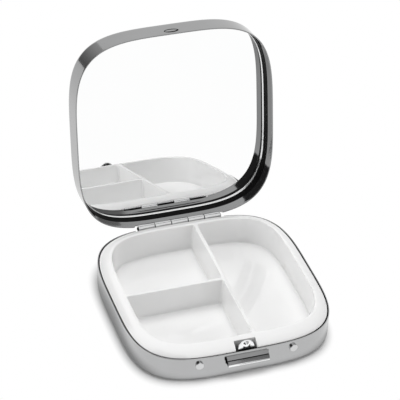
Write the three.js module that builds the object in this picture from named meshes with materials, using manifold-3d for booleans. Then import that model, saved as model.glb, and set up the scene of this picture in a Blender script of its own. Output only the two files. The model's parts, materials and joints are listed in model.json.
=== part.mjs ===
// Square metal pill box: a pressed base with a moulded three-compartment tray, a pressed lid with a
// framed mirror, a five-knuckle hinge and a sprung push catch.
// Millimetres, +Z up. The origin is the middle of the underside, +Y points to the hinge.
import * as THREE from "three";
import { mergeVertices } from "three/addons/utils/BufferGeometryUtils.js";
import Module from "manifold-3d";

const wasm = await Module();
wasm.setup();

// Plan of the box: a superellipse, an ellipse at power 2 and squarer above it
const BOX_WIDTH = 55;
const BOX_LENGTH = 55;
const PLAN_POWER = 3.85;
const PLAN_STEPS = 56;
const ARC_STEPS = 3;
const ROUND_STEPS = 20;
const WELD = 1e-4;

// Pressed shells
const SHEET = 0.45;
const BASE_HEIGHT = 7.4;
const LID_HEIGHT = 8.2;
const BASE_EDGE_RADIUS = 1.2;
const LID_EDGE_RADIUS = 1.6;
const RIM_GAP = 0.2;
const LID_OPEN_DEGREES = 101.2;

// Clearances: between pieces that lie on each other, and beside pieces that move
const SEAT_GAP = 0.2;
const RUNNING_GAP = 0.3;

// Moulded tray
const TRAY_CLEARANCE = 0.3;
const TRAY_RIM_WIDTH = 3.35;
const TRAY_CREST_RISE = 1.95;
const TRAY_CREST_WIDTH = 0.7;
const TRAY_SLOPE_BULGE = 0.4;
const TRAY_WALL = 1.0;
const TRAY_FLOOR = 0.85;
const TRAY_FLOOR_RADIUS = 1.2;
const TRAY_DRAFT = 0.4;
const TRAY_LIP_DROP = 1.0;
const TRAY_FLANGE = 0.35;
const DIVIDER_TOP = 1.0;
const DIVIDER_DRAFT = 0.45;
const DIVIDER_CHAMFER = 0.2;
const DIVIDER_DROP = 0.15;
const FULL_DIVIDER_X = 3.1;
const HALF_DIVIDER_Y = -0.5;

// Hinge
const HINGE_LENGTH = 23.6;
const KNUCKLES = 5;
const KNUCKLE_RADIUS = 0.8;
const KNUCKLE_GAP = 0.2;
const PIN_RADIUS = 0.4;
const PIN_CLEARANCE = 0.12;
const PIN_END = 0.3;
const AXIS_OUTSIDE = 0.06;
const LEAF_THICKNESS = 0.35;
const LEAF_SETBACK = 1.1;
const KNUCKLE_WEB = 0.5;

// Mirror and the frame that holds it
const MIRROR_THICKNESS = 1.15;
const MIRROR_MARGIN = 0.55;
const PAD_MARGIN = 3.0;
const PAD_THICKNESS = 0.36;
const PAD_GAP = 0.12;
const FRAME_SHEET = 0.4;
const FRAME_HEIGHT = 2.9;
const FRAME_LIP = 0.7;

// Push catch in the front wall
const BUTTON_WIDTH = 11;
const BUTTON_HEIGHT = 2.25;
const BUTTON_TOP_DROP = 0.65;
const BUTTON_REACH = 1.7;
const BUTTON_GROOVE = 0.45;
const BUTTON_ROUND = 0.35;
const WINDOW_CLEARANCE = 0.2;
const LATCH_PLATE_THICKNESS = 0.4;
const LATCH_PLATE_OVERLAP = 1.1;
const TONGUE_RADIUS = 2.15;
const TONGUE_RISE = 2.35;
const TONGUE_SIDE_GAP = 0.75;
const BEAD_RADIUS = 0.6;
const BEAD_HEIGHT = 0.4;
const SPRING_THICKNESS = 0.3;
const SPRING_HEIGHT = 1.8;
const SPRING_END = 2.0;
const RIVET_SPACING = 25.2;
const RIVET_DROP = 2.1;
const RIVET_HEAD_RADIUS = 1.1;
const RIVET_HEAD_HEIGHT = 0.45;
const RIVET_HEAD_CHAMFER = 0.11;
const RIVET_SHANK_RADIUS = 0.55;
const RIVET_TAIL_RADIUS = 0.8;
const RIVET_TAIL_HEIGHT = 0.3;
const SLOT_WIDTH = 4.2;
const SLOT_HEIGHT = 2.6;
const SLOT_RISE = 2.2;

// Places that follow from the sizes
const HALF_WIDTH = BOX_WIDTH / 2;
const INNER_WALL = HALF_WIDTH - SHEET;
const LENGTH_EXCESS = (BOX_LENGTH - BOX_WIDTH) / 2;
const LID_RIM_Z = BASE_HEIGHT + RIM_GAP;
const LID_TOP_Z = LID_RIM_Z + LID_HEIGHT;
const HINGE_Z = BASE_HEIGHT + RIM_GAP / 2;
const HINGE_Y = BOX_LENGTH / 2 + AXIS_OUTSIDE;
const BARREL_ROOM = KNUCKLE_RADIUS + RUNNING_GAP;
const TRAY_OUTER = INNER_WALL - TRAY_CLEARANCE;
const TRAY_OPENING = TRAY_OUTER - TRAY_RIM_WIDTH;
const TRAY_CREST_Z = BASE_HEIGHT + TRAY_CREST_RISE;
const TRAY_BOTTOM_Z = SHEET + SEAT_GAP;
const TRAY_FLOOR_Z = TRAY_BOTTOM_Z + TRAY_FLOOR;
const TRAY_FLANGE_Z = BASE_HEIGHT - TRAY_FLANGE;
const WELL_FRONT_Y = -(TRAY_OPENING + TRAY_WALL + LENGTH_EXCESS);
const FRONT_INNER_Y = -(INNER_WALL + LENGTH_EXCESS);
const BUTTON_TOP_Z = BASE_HEIGHT - BUTTON_TOP_DROP;
const BUTTON_MIDDLE_Z = BUTTON_TOP_Z - BUTTON_HEIGHT / 2;
const PLATE_FRONT_Y = FRONT_INNER_Y + RUNNING_GAP;
const PLATE_BACK_Y = PLATE_FRONT_Y + LATCH_PLATE_THICKNESS;
const SPRING_LENGTH = RIVET_SPACING + 2 * SPRING_END;
const SPRING_FRONT_Y = SEAT_GAP + Math.max(PLATE_BACK_Y, -planY(INNER_WALL, SPRING_LENGTH / 2));
const SPRING_BACK_Y = SPRING_FRONT_Y + SPRING_THICKNESS;
const RIVET_Z = BASE_HEIGHT - RIVET_DROP;
const LEAF_OUTER_Y = planY(INNER_WALL, HINGE_LENGTH / 2) - RUNNING_GAP;
const LEAF_INNER_Y = LEAF_OUTER_Y - LEAF_THICKNESS;
const PAD_TOP_Z = LID_TOP_Z - SHEET - PAD_GAP;
const MIRROR_BACK_Z = PAD_TOP_Z - PAD_THICKNESS - PAD_GAP;
const MIRROR_FACE_Z = MIRROR_BACK_Z - MIRROR_THICKNESS;
const FRAME_LIP_Z = MIRROR_FACE_Z - SEAT_GAP;
const FRAME_FOOT_Z = FRAME_LIP_Z - FRAME_HEIGHT;
const LEAF_REACH = FRAME_FOOT_Z - RUNNING_GAP - HINGE_Z;
const SLOT_Z = LID_RIM_Z + SLOT_RISE;
const BEAD_Z = SLOT_Z - SLOT_HEIGHT / 2 + BEAD_RADIUS;

// Depth of the plan at a distance x from its middle, for a given half width.
function planY(halfWidth, x) {
  const share = Math.abs(x / halfWidth) ** PLAN_POWER;
  return (halfWidth + LENGTH_EXCESS) * (1 - share) ** (1 / PLAN_POWER);
}

// Joins the corners of a geometry into one closed solid that can be cut and joined.
function solid(geometry) {
  const bare = geometry.index ? geometry.toNonIndexed() : geometry.clone();
  bare.deleteAttribute("normal");
  bare.deleteAttribute("uv");
  const merged = mergeVertices(bare, WELD);
  const index = merged.index.array;
  const corners = [];
  for (let i = 0; i < index.length; i += 3) {
    const [a, b, c] = index.subarray(i, i + 3);
    if (a !== b && b !== c && c !== a) corners.push(a, b, c);
  }
  const mesh = new wasm.Mesh({
    numProp: 3,
    vertProperties: merged.getAttribute("position").array,
    triVerts: new Uint32Array(corners),
  });
  return new wasm.Manifold(mesh);
}

// A profile of (distance from the middle, height) carried round the box's plan.
function planLathe(profile) {
  const geometry = new THREE.LatheGeometry(profile.getPoints(ARC_STEPS), PLAN_STEPS);
  geometry.rotateX(Math.PI / 2);
  const place = geometry.getAttribute("position");
  for (let i = 0; i < place.count; i += 1) {
    const [x, y] = [place.getX(i), place.getY(i)];
    const halfX = Math.hypot(x, y);
    if (halfX < WELD) continue;
    const halfY = halfX + LENGTH_EXCESS;
    const powers = Math.abs(x / halfX) ** PLAN_POWER + Math.abs(y / halfX) ** PLAN_POWER;
    const reach = powers ** (-1 / PLAN_POWER);
    place.setXY(i, x * reach, (y * reach * halfY) / halfX);
  }
  return solid(geometry);
}

// A block between two opposite corners.
function block(low, high) {
  const size = new THREE.Vector3().subVectors(high, low);
  const geometry = new THREE.BoxGeometry(size.x, size.y, size.z);
  const middle = new THREE.Vector3().addVectors(low, high).multiplyScalar(0.5);
  return solid(geometry.translate(middle.x, middle.y, middle.z));
}

// A shape drawn in (x, z) and carried along Y between two places.
function alongY(shape, fromY, toY) {
  const geometry = new THREE.ExtrudeGeometry(shape, {
    depth: toY - fromY,
    bevelEnabled: false,
    curveSegments: ROUND_STEPS,
  });
  return solid(geometry.rotateX(Math.PI / 2).translate(0, toY, 0));
}

// A shape drawn in (y, z) and carried along X between two places.
function alongX(shape, fromX, toX) {
  const geometry = new THREE.ExtrudeGeometry(shape, {
    depth: toX - fromX,
    bevelEnabled: false,
    curveSegments: ARC_STEPS,
  });
  const turn = new THREE.Matrix4().makeBasis(
    new THREE.Vector3(0, 1, 0),
    new THREE.Vector3(0, 0, 1),
    new THREE.Vector3(1, 0, 0),
  );
  return solid(geometry.applyMatrix4(turn).translate(fromX, 0, 0));
}

// A round bar on the hinge's axis.
function axisBar(radius, fromX, toX) {
  const geometry = new THREE.CylinderGeometry(radius, radius, toX - fromX, ROUND_STEPS);
  geometry.rotateZ(Math.PI / 2);
  return solid(geometry.translate((fromX + toX) / 2, HINGE_Y, HINGE_Z));
}

// A named mesh of a finished solid.
function piece(name, made, material) {
  const { vertProperties, triVerts } = made.getMesh();
  const geometry = new THREE.BufferGeometry();
  geometry.setAttribute("position", new THREE.BufferAttribute(vertProperties, 3));
  geometry.setIndex(new THREE.BufferAttribute(triVerts, 1));
  geometry.computeVertexNormals();
  const mesh = new THREE.Mesh(geometry, material);
  mesh.name = name;
  return mesh;
}

function finish(color, roughness, metalness) {
  return new THREE.MeshStandardMaterial({ color, roughness, metalness });
}

const POLISHED_STEEL = finish(0xb4b5b7, 0.16, 1);
const SPRING_STEEL = finish(0x9a9b9c, 0.3, 1);
const BRIGHT_FRAME = finish(0x77787a, 0.12, 1);
const SILVERED_GLASS = finish(0xf2f4f5, 0.02, 1);
const WHITE_PLASTIC = finish(0xf1f1f0, 0.32, 0);
const FOAM_TAPE = finish(0xd9d8d2, 0.9, 0);

// The room that the barrel and its pin need in a rear wall.
function barrelRoom() {
  const reach = HINGE_LENGTH / 2 + PIN_END + RUNNING_GAP;
  return axisBar(BARREL_ROOM, -reach, reach);
}

// A pressed shell's section: flat underside, rounded edge, straight wall, and the same again inside.
function shellProfile(height, radius) {
  const innerRadius = radius - SHEET;
  const profile = new THREE.Path();
  profile.moveTo(0, 0);
  profile.lineTo(HALF_WIDTH - radius, 0);
  profile.absarc(HALF_WIDTH - radius, radius, radius, -Math.PI / 2, 0, false);
  profile.lineTo(HALF_WIDTH, height);
  profile.lineTo(INNER_WALL, height);
  profile.lineTo(INNER_WALL, radius);
  profile.absarc(INNER_WALL - innerRadius, radius, innerRadius, 0, -Math.PI / 2, true);
  profile.lineTo(0, SHEET);
  return profile;
}

// Where a rivet stands: its place on the wall's outer face, and the wall's slope there.
function rivetSeat(side) {
  const x = (side * RIVET_SPACING) / 2;
  const step = RIVET_HEAD_RADIUS;
  const rise = planY(HALF_WIDTH, x + step) - planY(HALF_WIDTH, x - step);
  return { x, y: -planY(HALF_WIDTH, x), turn: Math.atan2(-rise, 2 * step) };
}

// The hole that a rivet's shank needs, square to the front wall and through the spring behind it.
function rivetBore(side) {
  const seat = rivetSeat(side);
  const radius = RIVET_SHANK_RADIUS + SEAT_GAP;
  const length = 2 * (SPRING_BACK_Y - seat.y + radius);
  const geometry = new THREE.CylinderGeometry(radius, radius, length, ROUND_STEPS);
  return solid(geometry.rotateZ(seat.turn).translate(seat.x, seat.y, RIVET_Z));
}

function baseShell() {
  const window = block(
    new THREE.Vector3(
      -BUTTON_WIDTH / 2 - WINDOW_CLEARANCE,
      -BOX_LENGTH,
      BUTTON_TOP_Z - BUTTON_HEIGHT - WINDOW_CLEARANCE,
    ),
    new THREE.Vector3(BUTTON_WIDTH / 2 + WINDOW_CLEARANCE, PLATE_FRONT_Y, BUTTON_TOP_Z + WINDOW_CLEARANCE),
  );
  return planLathe(shellProfile(BASE_HEIGHT, BASE_EDGE_RADIUS))
    .subtract(window)
    .subtract(rivetBore(-1))
    .subtract(rivetBore(1))
    .subtract(barrelRoom());
}

// The tray's section: well, sloping rim that covers the shell's edge, and a lip turned down inside the shell.
function trayProfile() {
  const foot = TRAY_OPENING - TRAY_DRAFT;
  const crest = TRAY_OPENING + TRAY_CREST_WIDTH;
  const lipInner = TRAY_OUTER - TRAY_WALL;
  const middleR = (TRAY_OUTER + crest) / 2;
  const middleZ = (BASE_HEIGHT + TRAY_CREST_Z) / 2;
  const profile = new THREE.Path();
  profile.moveTo(0, TRAY_BOTTOM_Z);
  profile.lineTo(foot + TRAY_WALL - TRAY_FLOOR_RADIUS, TRAY_BOTTOM_Z);
  profile.absarc(
    foot + TRAY_WALL - TRAY_FLOOR_RADIUS,
    TRAY_BOTTOM_Z + TRAY_FLOOR_RADIUS,
    TRAY_FLOOR_RADIUS,
    -Math.PI / 2,
    0,
    false,
  );
  profile.lineTo(TRAY_OPENING + TRAY_WALL, TRAY_FLANGE_Z);
  profile.lineTo(lipInner, TRAY_FLANGE_Z);
  profile.lineTo(lipInner, TRAY_FLANGE_Z - TRAY_LIP_DROP);
  profile.lineTo(TRAY_OUTER, TRAY_FLANGE_Z - TRAY_LIP_DROP);
  profile.lineTo(TRAY_OUTER, BASE_HEIGHT);
  profile.quadraticCurveTo(middleR + TRAY_SLOPE_BULGE, middleZ + TRAY_SLOPE_BULGE, crest, TRAY_CREST_Z);
  profile.quadraticCurveTo(TRAY_OPENING, TRAY_CREST_Z, TRAY_OPENING, TRAY_CREST_Z - TRAY_CREST_WIDTH);
  profile.lineTo(foot, TRAY_FLOOR_Z + TRAY_FLOOR_RADIUS);
  profile.absarc(
    foot - TRAY_FLOOR_RADIUS,
    TRAY_FLOOR_Z + TRAY_FLOOR_RADIUS,
    TRAY_FLOOR_RADIUS,
    0,
    -Math.PI / 2,
    true,
  );
  profile.lineTo(0, TRAY_FLOOR_Z);
  return profile;
}

// A divider's section, thicker at the foot, drawn round its own middle line.
function dividerSection(middle) {
  const top = TRAY_CREST_Z - DIVIDER_DROP;
  const foot = TRAY_FLOOR_Z - TRAY_FLOOR / 2;
  const halfTop = DIVIDER_TOP / 2;
  const halfFoot = halfTop + DIVIDER_DRAFT;
  return new THREE.Shape()
    .moveTo(middle - halfFoot, foot)
    .lineTo(middle + halfFoot, foot)
    .lineTo(middle + halfTop, top - DIVIDER_CHAMFER)
    .lineTo(middle + halfTop - DIVIDER_CHAMFER, top)
    .lineTo(middle - halfTop + DIVIDER_CHAMFER, top)
    .lineTo(middle - halfTop, top - DIVIDER_CHAMFER);
}

// The dividers end inside the well's wall, so this plug trims them to half its thickness.
function dividerPlug() {
  const foot = TRAY_OPENING - TRAY_DRAFT + TRAY_WALL / 2;
  const profile = new THREE.Path();
  profile.moveTo(0, TRAY_FLOOR_Z - TRAY_FLOOR / 2);
  profile.lineTo(foot - TRAY_FLOOR_RADIUS, TRAY_FLOOR_Z - TRAY_FLOOR / 2);
  profile.lineTo(foot, TRAY_FLOOR_Z + TRAY_FLOOR_RADIUS);
  profile.lineTo(TRAY_OPENING + TRAY_WALL / 2, TRAY_CREST_Z);
  profile.lineTo(0, TRAY_CREST_Z);
  return planLathe(profile);
}

function pillTray() {
  const fullDivider = alongY(dividerSection(FULL_DIVIDER_X), -BOX_LENGTH / 2, BOX_LENGTH / 2);
  const halfDivider = alongX(dividerSection(HALF_DIVIDER_Y), -HALF_WIDTH, FULL_DIVIDER_X);
  const dividers = fullDivider.add(halfDivider).intersect(dividerPlug());
  const recessHalf = TONGUE_RADIUS + TONGUE_SIDE_GAP;
  const latchRecess = block(
    new THREE.Vector3(-recessHalf, -BOX_LENGTH, TRAY_BOTTOM_Z),
    new THREE.Vector3(recessHalf, WELL_FRONT_Y, LID_TOP_Z),
  );
  const bayHalf = SPRING_LENGTH / 2 + RUNNING_GAP;
  const latchBay = block(
    new THREE.Vector3(-bayHalf, -BOX_LENGTH, 0),
    new THREE.Vector3(bayHalf, WELL_FRONT_Y, TRAY_FLANGE_Z),
  );
  const hingeHalf = HINGE_LENGTH / 2 + PIN_END + RUNNING_GAP;
  const hingeBay = block(
    new THREE.Vector3(-hingeHalf, LEAF_INNER_Y - RUNNING_GAP, 0),
    new THREE.Vector3(hingeHalf, BOX_LENGTH, LID_TOP_Z),
  );
  return planLathe(trayProfile())
    .add(dividers)
    .subtract(latchRecess)
    .subtract(latchBay)
    .subtract(hingeBay);
}

// One side of the hinge in the closed box. Side -1 is the base's leaf, side 1 the lid's,
// its mirror image above the axis, with the knuckles that the other side leaves free.
function hingeLeaf(side) {
  const heightAt = (rise) => HINGE_Z + side * rise;
  const pitch = HINGE_LENGTH / KNUCKLES;
  const half = HINGE_LENGTH / 2;
  const farEdge = heightAt(LEAF_REACH);
  const rises = [heightAt(LEAF_SETBACK), farEdge].sort((a, b) => a - b);
  const webNear = heightAt(RIM_GAP / 2);
  const webFar = heightAt(RIM_GAP / 2 + KNUCKLE_WEB);
  const web = new THREE.Shape()
    .moveTo(LEAF_INNER_Y, farEdge)
    .lineTo(LEAF_OUTER_Y, farEdge)
    .lineTo(LEAF_OUTER_Y, webFar)
    .lineTo(HINGE_Y - KNUCKLE_RADIUS / 2, webFar)
    .lineTo(HINGE_Y - KNUCKLE_RADIUS / 2, webNear)
    .lineTo(LEAF_INNER_Y, webNear);
  let leaf = block(
    new THREE.Vector3(-half, LEAF_INNER_Y, rises[0]),
    new THREE.Vector3(half, LEAF_OUTER_Y, rises[1]),
  );
  for (let i = side < 0 ? 0 : 1; i < KNUCKLES; i += 2) {
    const fromX = -half + i * pitch + KNUCKLE_GAP / 2;
    const toX = fromX + pitch - KNUCKLE_GAP;
    leaf = leaf.add(axisBar(KNUCKLE_RADIUS, fromX, toX)).add(alongX(web, fromX, toX));
  }
  return leaf.subtract(axisBar(PIN_RADIUS + PIN_CLEARANCE, -HINGE_LENGTH, HINGE_LENGTH));
}

function hingePin() {
  const reach = HINGE_LENGTH / 2 + PIN_END;
  return axisBar(PIN_RADIUS, -reach, reach);
}

function lidShell() {
  const slot = new THREE.Shape();
  slot.absellipse(0, SLOT_Z, SLOT_WIDTH / 2, SLOT_HEIGHT / 2, 0, Math.PI * 2, false, 0);
  return planLathe(shellProfile(LID_HEIGHT, LID_EDGE_RADIUS))
    .rotate([180, 0, 0])
    .translate([0, 0, LID_TOP_Z])
    .subtract(alongY(slot, -BOX_LENGTH, FRONT_INNER_Y + RUNNING_GAP))
    .subtract(barrelRoom());
}

// An L-section ring: a wall against the skirt and a narrow lip over the mirror's edge.
function mirrorFrame() {
  const wall = INNER_WALL - SEAT_GAP;
  const profile = new THREE.Path();
  profile.moveTo(wall - FRAME_SHEET, FRAME_FOOT_Z);
  profile.lineTo(wall, FRAME_FOOT_Z);
  profile.lineTo(wall, FRAME_LIP_Z);
  profile.lineTo(wall - FRAME_SHEET - FRAME_LIP, FRAME_LIP_Z);
  profile.lineTo(wall - FRAME_SHEET - FRAME_LIP, FRAME_LIP_Z - FRAME_SHEET);
  profile.lineTo(wall - FRAME_SHEET, FRAME_LIP_Z - FRAME_SHEET);
  profile.lineTo(wall - FRAME_SHEET, FRAME_FOOT_Z);
  return planLathe(profile);
}

// A flat sheet cut to the box's plan, set in from the lid's inner wall.
function planSheet(margin, lowZ, highZ) {
  const profile = new THREE.Path();
  profile.moveTo(0, lowZ);
  profile.lineTo(INNER_WALL - margin, lowZ);
  profile.lineTo(INNER_WALL - margin, highZ);
  profile.lineTo(0, highZ);
  return planLathe(profile);
}

function mirrorGlass() {
  return planSheet(MIRROR_MARGIN, MIRROR_FACE_Z, MIRROR_BACK_Z);
}

// The pad that holds the glass to the lid.
function mirrorPad() {
  return planSheet(PAD_MARGIN, PAD_TOP_Z - PAD_THICKNESS, PAD_TOP_Z);
}

// A bar with a flat top, a finger groove and a rounded lower lip, carried across the window.
// The groove's curve reaches half way to its control point, hence twice its depth.
function pushButton() {
  const back = PLATE_FRONT_Y - SEAT_GAP;
  const front = -BOX_LENGTH / 2 - BUTTON_REACH;
  const low = BUTTON_TOP_Z - BUTTON_HEIGHT;
  const section = new THREE.Shape()
    .moveTo(back, low)
    .lineTo(back, BUTTON_TOP_Z)
    .lineTo(front + BUTTON_ROUND, BUTTON_TOP_Z)
    .quadraticCurveTo(front, BUTTON_TOP_Z, front, BUTTON_TOP_Z - BUTTON_ROUND)
    .quadraticCurveTo(front + BUTTON_GROOVE * 2, BUTTON_MIDDLE_Z, front, low + BUTTON_ROUND)
    .quadraticCurveTo(front, low, front + BUTTON_ROUND, low);
  return alongX(section, -BUTTON_WIDTH / 2, BUTTON_WIDTH / 2);
}

// The plate behind the window, with a half-round tongue that stands up behind the rim
// and a bead on it that snaps into the lid's slot.
function latchPlate() {
  const half = BUTTON_WIDTH / 2 + LATCH_PLATE_OVERLAP;
  const top = TRAY_FLANGE_Z - RUNNING_GAP;
  const low = BUTTON_TOP_Z - BUTTON_HEIGHT - WINDOW_CLEARANCE;
  const tongueTop = BASE_HEIGHT + TONGUE_RISE;
  const shoulder = tongueTop - TONGUE_RADIUS;
  const shape = new THREE.Shape()
    .moveTo(-half, low)
    .lineTo(half, low)
    .lineTo(half, top)
    .lineTo(TONGUE_RADIUS, top)
    .absarc(0, shoulder, TONGUE_RADIUS, 0, Math.PI, false)
    .lineTo(-TONGUE_RADIUS, top)
    .lineTo(-half, top);
  const ball = (BEAD_RADIUS ** 2 + BEAD_HEIGHT ** 2) / (2 * BEAD_HEIGHT);
  const bead = new THREE.SphereGeometry(ball, ROUND_STEPS, ROUND_STEPS);
  bead.translate(0, PLATE_FRONT_Y + ball - BEAD_HEIGHT, BEAD_Z);
  const front = block(
    new THREE.Vector3(-TONGUE_RADIUS, -BOX_LENGTH, BASE_HEIGHT),
    new THREE.Vector3(TONGUE_RADIUS, PLATE_FRONT_Y + LATCH_PLATE_THICKNESS / 2, LID_TOP_Z),
  );
  return alongY(shape, PLATE_FRONT_Y, PLATE_BACK_Y).add(solid(bead).intersect(front));
}

// A flat strip, held by a rivet at each end, that pushes the plate back out.
function latchSpring() {
  const strip = block(
    new THREE.Vector3(-SPRING_LENGTH / 2, SPRING_FRONT_Y, RIVET_Z - SPRING_HEIGHT / 2),
    new THREE.Vector3(SPRING_LENGTH / 2, SPRING_BACK_Y, RIVET_Z + SPRING_HEIGHT / 2),
  );
  return strip
    .subtract(rivetBore(-1))
    .subtract(rivetBore(1));
}

// A rivet on its own axis: head outside the wall, shank through it, tail behind the spring.
function rivet(name, side) {
  const seat = rivetSeat(side);
  const wall = -SEAT_GAP;
  const tail = SPRING_BACK_Y - seat.y + SEAT_GAP + RIVET_TAIL_RADIUS * Math.abs(Math.tan(seat.turn));
  const profile = new THREE.Path();
  profile.moveTo(0, wall - RIVET_HEAD_HEIGHT);
  profile.lineTo(RIVET_HEAD_RADIUS - RIVET_HEAD_CHAMFER, wall - RIVET_HEAD_HEIGHT);
  profile.lineTo(RIVET_HEAD_RADIUS, wall - RIVET_HEAD_HEIGHT + RIVET_HEAD_CHAMFER);
  profile.lineTo(RIVET_HEAD_RADIUS, wall);
  profile.lineTo(RIVET_SHANK_RADIUS, wall);
  profile.lineTo(RIVET_SHANK_RADIUS, tail);
  profile.lineTo(RIVET_TAIL_RADIUS, tail);
  profile.lineTo(RIVET_TAIL_RADIUS, tail + RIVET_TAIL_HEIGHT);
  profile.lineTo(0, tail + RIVET_TAIL_HEIGHT);
  const turned = new THREE.LatheGeometry(profile.getPoints(1), ROUND_STEPS);
  const mesh = piece(name, solid(turned), POLISHED_STEEL);
  mesh.position.set(seat.x, seat.y, RIVET_Z);
  mesh.rotation.z = seat.turn;
  return mesh;
}

const base = new THREE.Group();
base.add(
  piece("base_shell", baseShell(), POLISHED_STEEL),
  piece("pill_tray", pillTray(), WHITE_PLASTIC),
  piece("hinge_base_leaf", hingeLeaf(-1), POLISHED_STEEL),
  piece("hinge_pin", hingePin(), SPRING_STEEL),
  piece("latch_spring", latchSpring(), SPRING_STEEL),
  rivet("latch_rivet_left", -1),
  rivet("latch_rivet_right", 1),
);

const latch = new THREE.Group();
latch.add(
  piece("push_button", pushButton(), POLISHED_STEEL),
  piece("latch_plate", latchPlate(), POLISHED_STEEL),
);

// The lid's pieces are made in the closed box and turned open about the hinge's axis.
const closedLid = new THREE.Group();
closedLid.position.set(0, -HINGE_Y, -HINGE_Z);
closedLid.add(
  piece("lid_shell", lidShell(), POLISHED_STEEL),
  piece("hinge_lid_leaf", hingeLeaf(1), POLISHED_STEEL),
  piece("mirror_frame", mirrorFrame(), BRIGHT_FRAME),
  piece("mirror_glass", mirrorGlass(), SILVERED_GLASS),
  piece("mirror_pad", mirrorPad(), FOAM_TAPE),
);
const lid = new THREE.Group();
lid.position.set(0, HINGE_Y, HINGE_Z);
lid.rotation.x = -THREE.MathUtils.degToRad(LID_OPEN_DEGREES);
lid.add(closedLid);

const pillBox = new THREE.Group();
pillBox.add(base, latch, lid);

export default pillBox;
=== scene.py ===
"""Looks of a square metal pill box with a divided tray, a mirror lid and a push catch.

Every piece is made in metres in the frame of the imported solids, with the lid standing open.
"""

import json
import logging
import math
from collections.abc import Callable, Iterable, Sequence
from dataclasses import dataclass, field
from enum import Enum

import bmesh
import bpy
import numpy as np
from mathutils import Matrix, Vector


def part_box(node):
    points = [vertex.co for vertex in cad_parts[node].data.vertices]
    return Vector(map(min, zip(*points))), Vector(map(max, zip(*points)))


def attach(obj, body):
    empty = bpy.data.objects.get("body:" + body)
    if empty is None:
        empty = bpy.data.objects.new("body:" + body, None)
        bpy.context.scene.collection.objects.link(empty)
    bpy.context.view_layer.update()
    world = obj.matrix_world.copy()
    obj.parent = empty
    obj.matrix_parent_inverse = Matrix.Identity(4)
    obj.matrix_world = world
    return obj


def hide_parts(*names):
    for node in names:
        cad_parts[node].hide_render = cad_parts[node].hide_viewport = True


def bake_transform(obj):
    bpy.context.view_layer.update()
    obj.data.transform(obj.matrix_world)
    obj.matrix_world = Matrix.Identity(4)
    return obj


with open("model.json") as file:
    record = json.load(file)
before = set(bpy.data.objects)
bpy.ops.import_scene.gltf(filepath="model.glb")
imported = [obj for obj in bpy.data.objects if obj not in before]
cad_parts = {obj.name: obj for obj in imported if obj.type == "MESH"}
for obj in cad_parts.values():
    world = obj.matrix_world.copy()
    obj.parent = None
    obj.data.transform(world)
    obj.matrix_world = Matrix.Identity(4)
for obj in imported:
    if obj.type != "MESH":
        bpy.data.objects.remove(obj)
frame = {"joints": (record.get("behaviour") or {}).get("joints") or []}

LOG = logging.getLogger("pill_box")
MM = 0.001
# Points in a ring round the plan
PLAN_COUNT = 320
# Edges that turn by more than this stay sharp
SHARP_ANGLE = math.radians(28)
# Edges shorter than this are dissolved after a cut
WELD = 0.001 * MM
# Cutting tools reach this many half widths from the middle, which is outside the box
BEYOND = 1.2
# The least number that is divided by
TINY = 1e-6

Pair = tuple[float, float]
Triple = tuple[float, float, float]
Profile = list[Pair]
Placing = Callable[[float, float, float], Sequence[float]]
Material = bpy.types.Material
Piece = bpy.types.Object


class Body(Enum):
    """The bodies that pieces ride on."""

    BASE = "base"
    LATCH = "latch"
    LID = "lid"


class Slot(Enum):
    """The record's material slots."""

    METAL = "polished_metal"
    FRAME = "frame_metal"
    STEEL = "spring_steel"
    PLASTIC = "white_plastic"
    MIRROR = "mirror"
    TAPE = "foam_tape"


class Value:
    """An output socket that takes part in Python expressions."""

    def __init__(self, graph: "Graph", socket: bpy.types.NodeSocket | None) -> None:
        """Keeps the socket and the graph that it belongs to."""
        self.graph = graph
        self.socket = socket

    def _math(self, operation: str, first: object, second: object) -> "Value":
        """One Math node on two values."""
        return self.graph.node("ShaderNodeMath", {"operation": operation}, {0: first, 1: second})

    def __add__(self, other: object) -> "Value":
        """Sum."""
        return self._math("ADD", self, other)

    def __radd__(self, other: object) -> "Value":
        """Sum with a number on the left."""
        return self._math("ADD", other, self)

    def __sub__(self, other: object) -> "Value":
        """Difference."""
        return self._math("SUBTRACT", self, other)

    def __rsub__(self, other: object) -> "Value":
        """Difference from a number on the left."""
        return self._math("SUBTRACT", other, self)

    def __mul__(self, other: object) -> "Value":
        """Product."""
        return self._math("MULTIPLY", self, other)

    def __rmul__(self, other: object) -> "Value":
        """Product with a number on the left."""
        return self._math("MULTIPLY", other, self)

    def __pow__(self, other: object) -> "Value":
        """Power."""
        return self._math("POWER", self, other)

    def __abs__(self) -> "Value":
        """Size without its sign."""
        return self._math("ABSOLUTE", self, 0.0)

    def largest(self, other: object) -> "Value":
        """The larger of two values."""
        return self._math("MAXIMUM", self, other)

    def angle(self, other: object) -> "Value":
        """The angle whose sine and cosine go as this value and another."""
        return self._math("ARCTAN2", self, other)

    def output(self, name: str) -> "Value":
        """Another output of the same node."""
        return Value(self.graph, self.socket.node.outputs[name])


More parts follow.
